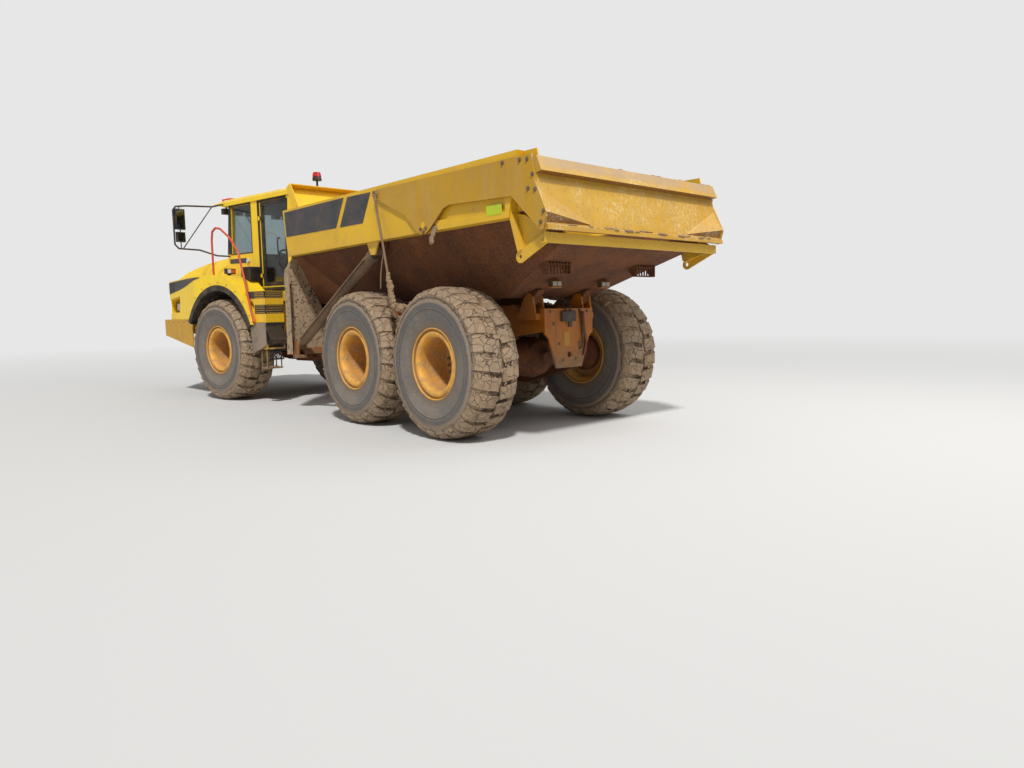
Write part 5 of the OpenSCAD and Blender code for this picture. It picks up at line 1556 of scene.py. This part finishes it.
def add_lathe(mesh: Mesh, profile: Sequence[tuple[float, float]], segments: int,
              swell: Callable[[float, float], float] | None = None) -> None:
    """Turns a closed profile about the Y axis.

    Args:
        mesh: the mesh to add to.
        profile: points of radius and place along the axle, a closed loop.
        segments: steps round the axle.
        swell: what is added to a point's radius, from its angle and its place along the axle.
    """
    rings: list[list[bmesh.types.BMVert]] = []
    for k in range(segments):
        angle = 2 * math.pi * k / segments
        ring = []
        for radius, along in profile:
            reach = radius + (swell(angle, along) if swell else 0.0)
            ring.append(mesh.verts.new((reach * math.cos(angle), along, reach * math.sin(angle))))
        rings.append(ring)
    for k in range(segments):
        one, other = rings[k], rings[(k + 1) % segments]
        for i in range(len(profile)):
            j = (i + 1) % len(profile)
            mesh.faces.new((one[i], one[j], other[j], other[i]))


def add_frame(mesh: Mesh, outer: Path, inner: Path, depth: Sequence[float]) -> None:
    """Adds a flat ring between two outlines of the same number of points, thickened by a vector.

    Args:
        mesh: the mesh to add to.
        outer: the outer corners.
        inner: the inner corners.
        depth: the way and distance to its other face.
    """
    low = [[mesh.verts.new(Vector(p)) for p in loop] for loop in (outer, inner)]
    high = [[mesh.verts.new(Vector(p) + Vector(depth)) for p in loop] for loop in (outer, inner)]
    count = len(outer)
    for i in range(count):
        j = (i + 1) % count
        mesh.faces.new((low[0][i], low[0][j], low[1][j], low[1][i]))
        mesh.faces.new((high[0][i], high[1][i], high[1][j], high[0][j]))
        mesh.faces.new((low[0][i], high[0][i], high[0][j], low[0][j]))
        mesh.faces.new((low[1][i], low[1][j], high[1][j], high[1][i]))


@dataclass
class Wheels:
    """Deep dished rims with their nuts, and clay packed between the lugs of each tyre."""

    shop: Workshop
    nut_ring: float = 0.196
    nuts: int = 16
    crumbs: int = 420
    tread_radius: float = 0.800
    tread_half: float = 0.285
    fullest_at: float = 0.24
    clay_steps: int = 320
    dish: Outline = (
        (0.0005, -0.052), (0.045, -0.053), (0.062, -0.060), (0.078, -0.084), (0.125, -0.092),
        (0.150, -0.104), (0.226, -0.106), (0.243, -0.098), (0.252, -0.078), (0.262, -0.010),
        (0.272, 0.080), (0.279, 0.160), (0.283, 0.206), (0.289, 0.230), (0.299, 0.244),
        (0.314, 0.251), (0.330, 0.252), (0.343, 0.246), (0.351, 0.237), (0.357, 0.2335),
        (0.362, 0.2345), (0.3655, 0.243), (0.368, 0.2555), (0.3725, 0.2625), (0.3795, 0.2630),
        (0.3845, 0.2575), (0.3848, 0.236), (0.378, 0.214), (0.340, 0.150), (0.3185, 0.118),
        (0.3185, -0.150), (0.360, -0.224), (0.3848, -0.236), (0.3845, -0.2575), (0.3795, -0.2630),
        (0.366, -0.258), (0.346, -0.238), (0.303, -0.214), (0.300, -0.140), (0.262, -0.126),
        (0.0005, -0.126))
    crown: Outline = (
        (0.690, 0.291), (0.706, 0.287), (0.724, 0.280), (0.745, 0.262), (0.762, 0.238), (0.772, 0.210),
        (0.779, 0.180), (0.783, 0.150), (0.785, 0.120), (0.786, 0.090), (0.786, 0.060), (0.786, 0.030),
        (0.786, 0.0))
    underside: Outline = ((0.690, 0.262), (0.735, 0.18))

    def skin(self) -> list[tuple[float, float]]:
        """Returns the closed section of a tyre's clay: its crown, then its hidden underside."""
        crown = [(radius, -along) for radius, along in self.crown[:-1]] + list(self.crown[::-1])
        return crown + list(self.underside) + [(radius, -along) for radius, along in self.underside[::-1]]

    def rim(self, name: str, place: Matrix) -> None:
        """Makes one rim in place of the plain one.

        Args:
            name: the wheel's name.
            place: the matrix from the wheel's own axes to the row frame.
        """
        mesh = bmesh.new()
        add_lathe(mesh, self.dish, 80)
        bmesh.ops.transform(mesh, matrix=place, verts=mesh.verts)
        obj = self.shop.piece(f"dished_rim_{name}", f"wheel_{name}", Finish.BOLT, mesh, smooth=True)
        obj.data.materials[0] = bpy.data.materials[f"rim_{name}"]
        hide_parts(f"rim_{name}")

    def hub(self, name: str, place: Matrix) -> None:
        """Makes the ring of nuts on one hub.

        Args:
            name: the wheel's name.
            place: the matrix from the wheel's own axes to the row frame.
        """
        turn = place.to_3x3()
        along = tuple(turn @ Vector((0.0, 1.0, 0.0)))
        ring = []
        for k in range(self.nuts):
            angle = 2 * math.pi * (k + 0.5) / self.nuts
            spot = (self.nut_ring * math.cos(angle), -0.092, self.nut_ring * math.sin(angle))
            ring.append((tuple(place @ Vector(spot)), along))
        self.shop.repeat(f"hub_nuts_{name}", f"wheel_{name}", Finish.BOLT, Shape.HEX, ring, None,
                         Radius=0.017, Height=0.028)

    def clay(self, name: str, place: Matrix, seed: int) -> None:
        """Makes the clay packed between one tyre's lugs.

        Args:
            name: the wheel's name.
            place: the matrix from the wheel's own axes to the row frame.
            seed: fixes the clay's shape.
        """
        shift = Vector((3.1 * seed, 1.7 * seed, 0.9 * seed))

        def swell(angle: float, along: float) -> float:
            """Returns how far the clay stands out there."""
            spot = Vector((math.cos(angle) * 0.8, along, math.sin(angle) * 0.8))
            coarse = noise.noise(spot * 5.0 + shift)
            mid = noise.noise(spot * 15.0 + shift)
            fine = noise.noise(spot * 42.0 + shift)
            fill = 0.006 * math.sin(angle)
            return fill + 0.012 * coarse + 0.009 * mid + 0.0045 * fine

        mesh = bmesh.new()
        add_lathe(mesh, self.skin(), self.clay_steps, swell)
        bmesh.ops.transform(mesh, matrix=place, verts=mesh.verts)
        obj = self.shop.piece(f"tread_clay_{name}", f"wheel_{name}", Finish.CLAY_LUMP, mesh, smooth=True)
        obj.data.materials[0] = bpy.data.materials[f"tyre_{name}"]

    def clods(self, name: str, place: Matrix, seed: int) -> None:
        """Makes the crumbs of clay that stand on one tyre's tread and shoulders.

        Args:
            name: the wheel's name.
            place: the matrix from the wheel's own axes to the row frame.
            seed: fixes where they lie.
        """
        rng = random.Random(400 + seed)
        spots, scales = [], []
        turn = place.to_3x3()
        for _ in range(self.crumbs):
            angle = rng.uniform(0, 2 * math.pi)
            fullest = rng.choice((-self.fullest_at, self.fullest_at))
            along = rng.triangular(-self.tread_half, self.tread_half, fullest)
            surface = self.tread_radius - max(0.0, abs(along) - 0.15) * 0.55
            reach = surface - rng.uniform(0.0, 0.012)
            spot = Vector((reach * math.cos(angle), along, reach * math.sin(angle)))
            way = Vector((math.cos(angle), 0.0, math.sin(angle)))
            way += Vector((rng.uniform(-0.5, 0.5), rng.uniform(-0.6, 0.6), 0.0))
            size = rng.uniform(0.008, 0.024)
            spots.append((tuple(place @ spot), tuple(turn @ way)))
            length, width = size * rng.uniform(1.0, 2.0), size * rng.uniform(0.8, 1.5)
            scales.append((length, width, min(0.008, size * 0.5)))
        obj = self.shop.repeat(f"tread_crumbs_{name}", f"wheel_{name}", Finish.CLAY_LUMP, Shape.CLOD, spots,
                               None, scales, Radius=1.0)
        obj.data.materials[0] = bpy.data.materials[f"tyre_{name}"]

    def build(self) -> None:
        """Makes the rims, hubs and clay of the six wheels."""
        wheels = wheel_places()
        for seed, (name, (centre, turn)) in enumerate(wheels.items()):
            outwards = turn + (math.pi if name.endswith("right") else 0.0)
            place = Matrix.Translation(centre) @ Matrix.Rotation(outwards, 4, "Z")
            self.rim(name, place)
            self.hub(name, place)
            self.clay(name, place, seed + 1)
            self.clods(name, place, seed)
        log.info("made the rims and clay of %d wheels", len(wheels))


@dataclass
class NoseTrim(Trim):
    """Front fenders and nose: blank dark bands, headlamps, indicators, louvres and bolts."""

    plan: Outline = ((1.60, 1.380), (1.90, 1.380), (2.30, 1.315), (3.13, 1.190), (3.24, 1.110))
    band: tuple[tuple[float, float, float], ...] = (
        (1.70, 1.974, 1.984), (1.90, 1.940, 1.982), (2.30, 1.858, 1.975), (2.56, 1.812, 1.965),
        (2.84, 1.780, 1.955), (3.125, 1.748, 1.942))
    lamp_y: float = 1.0625
    liner: float = 0.925
    arch: float = 1.075
    slat_count: int = 7

    def side_y(self, x: float) -> float:
        """Returns how far out the fender's face is at a place along the truck.

        Args:
            x: the place.

        Returns:
            The distance from the middle of the truck.
        """
        for (x0, y0), (x1, y1) in zip(self.plan, self.plan[1:]):
            if x <= x1:
                return y0 + (y1 - y0) * (x - x0) / (x1 - x0)
        return self.plan[-1][1]

    def bands(self) -> None:
        """Makes the blank dark band high on each fender, its front end a black grille."""
        for sign, side in SIDES.items():
            panel, grille = bmesh.new(), bmesh.new()
            for (x0, low0, high0), (x1, low1, high1) in zip(self.band, self.band[1:]):
                y0, y1 = sign * (self.side_y(x0) + 0.0005), sign * (self.side_y(x1) + 0.0005)
                outline = [(x0, y0, low0), (x1, y1, low1), (x1, y1, high1), (x0, y0, high0)]
                add_plate(grille if x0 > 2.8 else panel, outline, (0.0, sign * 0.004, 0.0))
            for k in range(self.slat_count):
                z = 1.764 + 0.186 * (k + 0.5) / self.slat_count
                add_rod(grille, (2.86, sign * (self.side_y(2.86) + 0.004), z + 0.003),
                        (3.115, sign * (self.side_y(3.115) + 0.004), z - 0.006), 0.006, 6)
            self.fix(f"fender_band_{side}", Finish.PANEL, panel)
            self.fix(f"nose_grille_{side}", Finish.PLASTIC, grille)

    def lights(self) -> None:
        """Makes the headlamps' lenses and bezels, and the indicators behind the rails."""
        lens, bezel, amber = bmesh.new(), bmesh.new(), bmesh.new()
        for sign in SIDES:
            face = sign * self.lamp_y
            for x0, x1 in ((2.875, 3.000), (3.015, 3.145)):
                add_side_box(lens, sign, (x0, self.lamp_y, 1.455), (x1, self.lamp_y + 0.006, 1.585))
            outer = [(2.862, face, 1.442), (3.158, face, 1.442), (3.158, face, 1.598), (2.862, face, 1.598)]
            inner = [(2.876, face, 1.456), (3.144, face, 1.456), (3.144, face, 1.584), (2.876, face, 1.584)]
            add_frame(bezel, outer, inner, (0.0, sign * 0.012, 0.0))
            add_side_box(amber, sign, (1.014, 1.145, 2.022), (1.0205, 1.205, 2.083))
            add_side_box(lens, sign, (1.014, 1.210, 2.022), (1.0205, 1.268, 2.083))
            hollow = [(x, sign * 1.0618, z) for x, z in ((2.620, 1.400), (2.870, 1.400), (2.870, 1.690),
                                                         (2.740, 1.690))]
            add_plate(bezel, hollow, (0.0, sign * 0.001, 0.0))
        self.fix("headlamp_lenses", Finish.LENS, lens, bevel=0.002)
        self.fix("headlamp_bezels", Finish.PLASTIC, bezel)
        self.fix("indicator_lenses", Finish.AMBER, amber, bevel=0.002)

    def louvres(self) -> None:
        """Makes the slats of the black intake boxes between the cab and the fenders."""
        box = bmesh.new()
        for sign in SIDES:
            add_side_box(box, sign, (0.735, 0.862, 1.890), (0.985, 1.060, 2.120))
            add_side_box(box, sign, (0.800, 0.862, 1.800), (0.960, 1.060, 1.892))
        self.fix("intake_boxes", Finish.PLASTIC, box, bevel=0.01)
        for part, x, y, size in (("side", 0.860, 1.062, (0.21, 0.012, 0.014)),
                                 ("rear", 0.733, 0.961, (0.012, 0.16, 0.014))):
            slats = [((x, sign * y, 1.912 + 0.030 * k), (0.0, 0.0, 1.0))
                     for sign in SIDES for k in range(self.slat_count)]
            self.repeat(f"intake_slats_{part}", Finish.SEAL, Shape.BLOCK, slats, Size=size)

    def liners(self) -> None:
        """Makes the black liners over the front wheels and the plates beside the engine."""
        mesh = bmesh.new()
        steps = 18
        for sign in SIDES:
            low, high = sorted((sign * 0.745, sign * 1.205))
            rings = []
            for k in range(steps + 1):
                angle = math.radians(14.0 + 152.0 * k / steps)
                c, s = math.cos(angle), math.sin(angle)
                section = ((self.liner, low), (self.liner, high), (self.liner + 0.006, high),
                           (self.liner + 0.006, low))
                rings.append([mesh.verts.new((FRONT_AXLE_X + r * c, y, WHEEL_Z + r * s))
                              for r, y in section])
            for one, other in zip(rings, rings[1:]):
                for i in range(4):
                    j = (i + 1) % 4
                    mesh.faces.new((one[i], one[j], other[j], other[i]))
            mesh.faces.new(rings[0])
            mesh.faces.new(rings[-1][::-1])
            add_side_box(mesh, sign, (0.310, 0.735, 1.250), (2.480, 0.745, 1.880))
        self.fix("wheel_arch_liners", Finish.ARCH_RUBBER, mesh)

    def fixings(self) -> None:
        """Makes the bolts round the arches and along the fenders' lower edges."""
        bolts = []
        for sign in SIDES:
            for k in range(9):
                angle = math.radians(38 + 14 * k)
                x, z = FRONT_AXLE_X + self.arch * math.cos(angle), WHEEL_Z + self.arch * math.sin(angle)
                if z < 1.93 and x < 1.95:
                    bolts.append(((x, sign * 1.383, z), (0.0, sign, 0.0)))
            for k in range(5):
                x = 2.30 + 0.2 * k
                bolts.append(((x, sign * (1.299 - 0.0475 * (x - 2.18) / 1.07), 1.255), (0.05, sign, 0.0)))
        self.repeat("fender_bolts", Finish.BOLT, Shape.HEX, bolts, Radius=0.009, Height=0.010)

    def build(self) -> None:
        """Makes all the trim of the nose."""
        self.bands()
        self.lights()
        self.louvres()
        self.liners()
        self.fixings()


@dataclass
class CabTrim(Trim):
    """Cab: black posts and seals, blank plates, lenses, beacon, wipers, mirrors' glass, inside fittings."""

    side: float = 0.8503
    sill: float = 2.370
    top: float = 3.165
    beacon: tuple[float, float] = (-0.070, 0.290)
    covers: tuple[Outline, ...] = (
        ((1.575, 2.372), (1.698, 2.372), (1.601, 3.160), (1.545, 3.138)),
        ((0.955, 3.136), (1.560, 3.136), (1.601, 3.162), (0.955, 3.162)),
        ((0.700, 1.810), (0.762, 1.810), (0.762, 3.160), (0.700, 3.160)),
        ((-0.02, 3.126), (0.700, 3.126), (0.700, 3.162), (-0.05, 3.162)))

    def posts(self) -> None:
        """Makes the black covers of the posts and the band over the windows."""
        mesh = bmesh.new()
        for sign in SIDES:
            for cover in self.covers:
                add_plate(mesh, [(x, sign * self.side, z) for x, z in cover], (0.0, sign * 0.004, 0.0))
            low, high = sorted((sign * 0.764, sign * 0.853))
            front = [(1.7003, low, 2.372), (1.7003, high, 2.372), (1.6003, high, 3.160),
                     (1.6003, low, 3.160)]
            add_plate(mesh, front, (0.006, 0.0, 0.001))
        self.fix("cab_post_covers", Finish.SEAL, mesh)

    def seals(self) -> None:
        """Makes the rubber seals round the side windows, the windscreen and the rear window."""
        mesh = bmesh.new()
        for sign in SIDES:
            y = sign * (self.side - 0.004)
            inner = [(0.960, y, self.sill), (1.580, y, self.sill), (1.550, y, 3.135), (0.960, y, 3.135)]
            outer = [(0.946, y, self.sill - 0.014), (1.596, y, self.sill - 0.014), (1.562, y, 3.149),
                     (0.946, y, 3.149)]
            add_frame(mesh, outer, inner, (0.0, sign * 0.009, 0.0))
        outer = [(1.7035, -0.775, 2.376), (1.7035, 0.775, 2.376), (1.6110, 0.775, 3.112),
                 (1.6110, -0.775, 3.112)]
        inner = [(1.7018, -0.758, 2.392), (1.7018, 0.758, 2.392), (1.6130, 0.758, 3.098),
                 (1.6130, -0.758, 3.098)]
        add_frame(mesh, outer, inner, (0.006, 0.0, 0.001))
        self.fix("window_seals", Finish.SEAL, mesh)

    def lamps(self) -> None:
        """Makes the lenses of the work and step lamps, and the beacon's base and dome."""
        lens, red, base = bmesh.new(), bmesh.new(), bmesh.new()
        for sign in SIDES:
            for y in (0.26, 0.48, 0.70):
                add_side_box(lens, sign, (1.9845, y - 0.055, self.top - 0.085),
                             (1.988, y + 0.055, self.top - 0.012))
            add_rod(lens, (1.080, sign * 0.852, 2.235), (1.080, sign * 0.876, 2.235), 0.036, 20)
        x, y = self.beacon
        add_rod(base, (x, y, 3.4555), (x, y, 3.500), 0.0725, 24, 0.0655)
        add_rod(red, (x, y, 3.500), (x, y, 3.5655), 0.0662, 24, 0.0545)
        for k in range(12):
            angle = 2 * math.pi * k / 12
            c, s = math.cos(angle), math.sin(angle)
            foot, tip = (x + 0.0655 * c, y + 0.0655 * s, 3.502), (x + 0.0550 * c, y + 0.0550 * s, 3.562)
            add_rod(red, foot, tip, 0.004, 6)
        self.fix("lamp_lenses", Finish.LENS, lens, bevel=0.002)
        self.fix("beacon_base", Finish.MAROON, base)
        self.fix("beacon_dome", Finish.RED, red, bevel=0.002)

    def plates(self) -> None:
        """Makes the blank dark plates of the cab, the sill and a black plate of mesh and painted shade
        under the door, and a dark cover on its back.
        """
        mesh = bmesh.new()
        for sign in SIDES:
            y = sign * self.side
            plate = [(1.150, y, 2.205), (1.640, y, 2.215), (1.640, y, 2.290), (1.150, y, 2.285)]
            add_plate(mesh, plate, (0.0, sign * 0.003, 0.0))
        self.fix("blank_cab_plates", Finish.PANEL, mesh)
        sill = bmesh.new()
        add_box(sill, (-0.02, 0.8505, 1.742), (0.700, 0.900, 1.786))
        # This lower black plate stands for the dark mesh under the door and for painted shade there.
        add_box(sill, (-0.020, 0.8505, 1.668), (0.690, 0.868, 1.740))
        self.fix("door_sill_and_shade_plates", Finish.SEAL, sill, bevel=0.008)
        # A dark clay-coloured cover darkens the cab's back wall where it shows behind the load box.
        back = bmesh.new()
        wall = [(-0.0665, -0.84, 1.520), (-0.0665, 0.84, 1.520), (-0.1085, 0.84, 2.330),
                (-0.1085, -0.84, 2.330)]
        add_plate(back, wall, (-0.004, 0.0, 0.0))
        self.fix("cab_back_dark_cover", Finish.MUD_STEEL, back)

    def wipers(self) -> None:
        """Makes the windscreen wiper and the door's grab bar."""
        mesh = bmesh.new()
        add_tube(mesh, [(1.722, 0.10, 2.372), (1.712, 0.16, 2.50), (1.672, 0.34, 2.82)], 0.010)
        add_tube(mesh, [(1.690, 0.20, 2.68), (1.668, 0.36, 2.84), (1.640, 0.50, 3.02)], 0.008)
        add_box(mesh, (1.700, 0.06, 2.335), (1.735, 0.14, 2.385))
        grab = [(0.14, 0.857, 2.12), (0.14, 0.900, 2.14), (0.16, 0.905, 2.50), (0.15, 0.862, 2.53)]
        add_tube(mesh, smooth_path(grab, 5), 0.011)
        self.fix("wipers_and_grips", Finish.PLASTIC, mesh, smooth=True)

    def mirrors(self) -> None:
        """Makes the glass and the rims of the mirrors on both sides."""
        glass, rim = bmesh.new(), bmesh.new()
        for sign in SIDES:
            for y0, y1, z0, z1 in ((1.440, 1.590, 2.760, 3.090), (1.450, 1.585, 2.560, 2.720)):
                add_side_box(glass, sign, (1.9365, y0 + 0.014, z0 + 0.014),
                             (1.9405, y1 - 0.014, z1 - 0.014))
                outer, inner = (
                    [(1.9405, sign * y, z) for y, z in ((y0 + lip, z0 + lip), (y1 - lip, z0 + lip),
                                                        (y1 - lip, z1 - lip), (y0 + lip, z1 - lip))]
                    for lip in (0.0, 0.012))
                add_frame(rim, outer, inner, (-0.010, 0.0, 0.0))
        self.fix("mirror_glass", Finish.MIRROR, glass)
        self.fix("mirror_rims", Finish.PLASTIC, rim)

    def inside(self) -> None:
        """Makes the headrest, levers, screen and dark lining."""
        soft, hard = bmesh.new(), bmesh.new()
        add_box(soft, (0.055, -0.13, 2.845), (0.125, 0.13, 3.010))
        for y in (-0.06, 0.06):
            add_rod(hard, (0.09, y, 2.76), (0.09, y, 2.86), 0.009, 8)
        add_box(hard, (1.395, -0.48, 2.350), (1.425, -0.24, 2.520))
        add_rod(hard, (0.52, -0.33, 2.05), (0.56, -0.33, 2.21), 0.010, 8)
        add_rod(hard, (0.555, -0.33, 2.20), (0.568, -0.33, 2.26), 0.024, 12)
        lining = bmesh.new()
        add_box(lining, (-0.015, -0.800, 3.070), (1.560, 0.800, 3.112))
        add_box(lining, (-0.015, -0.815, 1.760), (1.540, -0.785, 2.360))
        add_box(lining, (1.250, -0.700, 2.060), (1.560, 0.700, 2.380))
        add_box(lining, (-0.045, -0.780, 1.760), (-0.020, 0.780, 2.360))
        self.fix("cab_lining", Finish.SEAL, lining, bevel=0.02)
        self.fix("headrest", Finish.FABRIC, soft, bevel=0.03, smooth=True)
        self.fix("levers_and_screen", Finish.PLASTIC, hard, bevel=0.004)

    def build(self) -> None:
        """Makes all the trim of the cab."""
        self.posts()
        self.seals()
        self.lamps()
        self.plates()
        self.wipers()
        self.mirrors()
        self.inside()


@dataclass
class StepTrim(Trim):
    """Steps: folded tread edges, perforated risers, slats, mud skirts and clay."""

    rear: float = -0.095
    inner: float = 1.040
    outer: float = 1.330

    def bands(self) -> None:
        """Makes the folded yellow edges of the two upper treads, round the outer and the rear side."""
        mesh = bmesh.new()
        for sign in SIDES:
            for z0, z1 in ((1.505, 1.600), (1.240, 1.368)):
                add_side_box(mesh, sign, (self.rear - 0.020, self.inner - 0.004, z0),
                             (self.rear - 0.001, self.outer + 0.019, z1))
                add_side_box(mesh, sign, (self.rear - 0.003, self.outer + 0.0125, z0),
                             (0.182, self.outer + 0.019, z1))
            add_side_box(mesh, sign, (self.rear - 0.016, self.inner + 0.01, 1.362),
                         (0.09, self.outer - 0.02, 1.370))
        self.fix("tread_bands", Finish.STEP_YELLOW, mesh, bevel=0.005)

    def risers(self) -> None:
        """Makes the black perforated plates between the treads and under the deck."""
        plates = bmesh.new()
        holes = []
        for sign in SIDES:
            face = self.rear - 0.012
            for z0, z1 in ((1.368, 1.505), (1.603, 1.706)):
                ahead = 0.176 if z1 < 1.6 else 0.34
                add_side_box(plates, sign, (face, self.inner, z0), (face + 0.005, self.outer + 0.013, z1))
                add_side_box(plates, sign, (face + 0.002, self.outer + 0.0125, z0),
                             (ahead, self.outer + 0.016, z1))
                for row in range(4):
                    z = z0 + (z1 - z0) * (row + 0.5) / 4
                    for k in range(11):
                        step = 0.026 * k + (0.013 if row % 2 else 0.0)
                        y = self.inner + 0.014 + step
                        if y < self.outer:
                            holes.append(((face - 0.0006, sign * y, z), (-1.0, 0.0, 0.0)))
                        x = self.rear + 0.012 + step
                        if x < 0.168:
                            holes.append(((x, sign * (self.outer + 0.0166), z), (0.0, sign, 0.0)))
        self.fix("riser_plates", Finish.SEAL, plates)
        self.repeat("riser_holes", Finish.HOLE, Shape.STUD, holes, Radius=0.0085, Height=0.0016)

    def slats(self) -> None:
        """Makes the slanting slats of the two lowest steps, and the top bar they hang from."""
        slats, low_slats = [], []
        bars = bmesh.new()
        for sign in SIDES:
            for k in range(11):
                y = self.inner + 0.018 + 0.0255 * k
                slats.append(((self.rear - 0.011, sign * y, 1.085), (0.0, 0.42 * sign, 1.0)))
            for k in range(9):
                y = self.inner + 0.03 + 0.027 * k
                low_slats.append(((self.rear + 0.031, sign * y, 0.745), (0.0, 0.42 * sign, 1.0)))
            near, far = self.inner - 0.006, self.outer + 0.016
            add_side_box(bars, sign, (self.rear - 0.018, near, 1.190), (0.02, far, 1.238))
            add_side_box(bars, sign, (self.rear - 0.014, near, 0.925), (self.rear, far, 0.950))
            add_side_box(bars, sign, (self.rear - 0.006, near, 0.955), (self.rear + 0.004, far, 1.186))
            near, far = self.inner + 0.015, self.outer - 0.035
            for z0, z1 in ((0.806, 0.832), (0.672, 0.694)):
                add_side_box(bars, sign, (self.rear + 0.024, near, z0), (self.rear + 0.045, far, z1))
        self.fix("slat_bars", Finish.PLASTIC, bars, bevel=0.004)
        self.repeat("upper_step_slats", Finish.BOLT, Shape.BLOCK, slats, Size=(0.010, 0.009, 0.25))
        self.repeat("lower_step_slats", Finish.PLASTIC, Shape.BLOCK, low_slats, Size=(0.012, 0.010, 0.150))

    def skirt(self) -> None:
        """Makes the muddy rubber skirt between the fender's tail and the steps."""
        mesh = bmesh.new()
        for sign in SIDES:
            y = sign * (self.outer + 0.0128)
            outline = [(0.330, y, 1.205), (0.180, y, 1.236), (self.rear, y, 1.236), (self.rear, y, 0.905),
                       (0.060, y, 0.840), (0.235, y, 0.790), (0.300, y, 0.960)]
            add_plate(mesh, outline, (0.0, sign * 0.004, 0.0))
        self.fix("step_skirts", Finish.GREY_MUD, mesh)

    def clay(self) -> None:
        """Makes the clay on the steps."""
        mesh = bmesh.new()
        rng = random.Random(23)
        for sign in SIDES:
            for z in (0.860, 0.562):
                for k in range(7):
                    at = (rng.uniform(-0.05, 0.08), sign * rng.uniform(1.08, 1.29), z + 0.004)
                    size = (rng.uniform(0.02, 0.04), rng.uniform(0.02, 0.04), rng.uniform(0.008, 0.016))
                    add_lump(mesh, at, size, 300 + k, 0.4, 2)
        self.fix("step_clay", Finish.CLAY_LUMP, mesh, smooth=True)

    def build(self) -> None:
        """Makes all the trim of the steps."""
        self.bands()
        self.risers()
        self.slats()
        self.skirt()
        self.clay()


def main() -> None:
    """Loads the frame, dresses the truck and sets up the studio."""
    logging.basicConfig(level=logging.INFO, format="%(message)s")
    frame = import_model()
    PhotoCamera().build()
    Studio().build()
    shop = Workshop(frame)
    for maker in (CastSolids, Wheels, LoadBoxTrim, GateTrim, RopeTrim, RearFrameTrim, NoseTrim, CabTrim,
                  StepTrim):
        maker(shop).build()
    log.info("made %d pieces", shop.count)


if __name__ == "__main__":
    main()
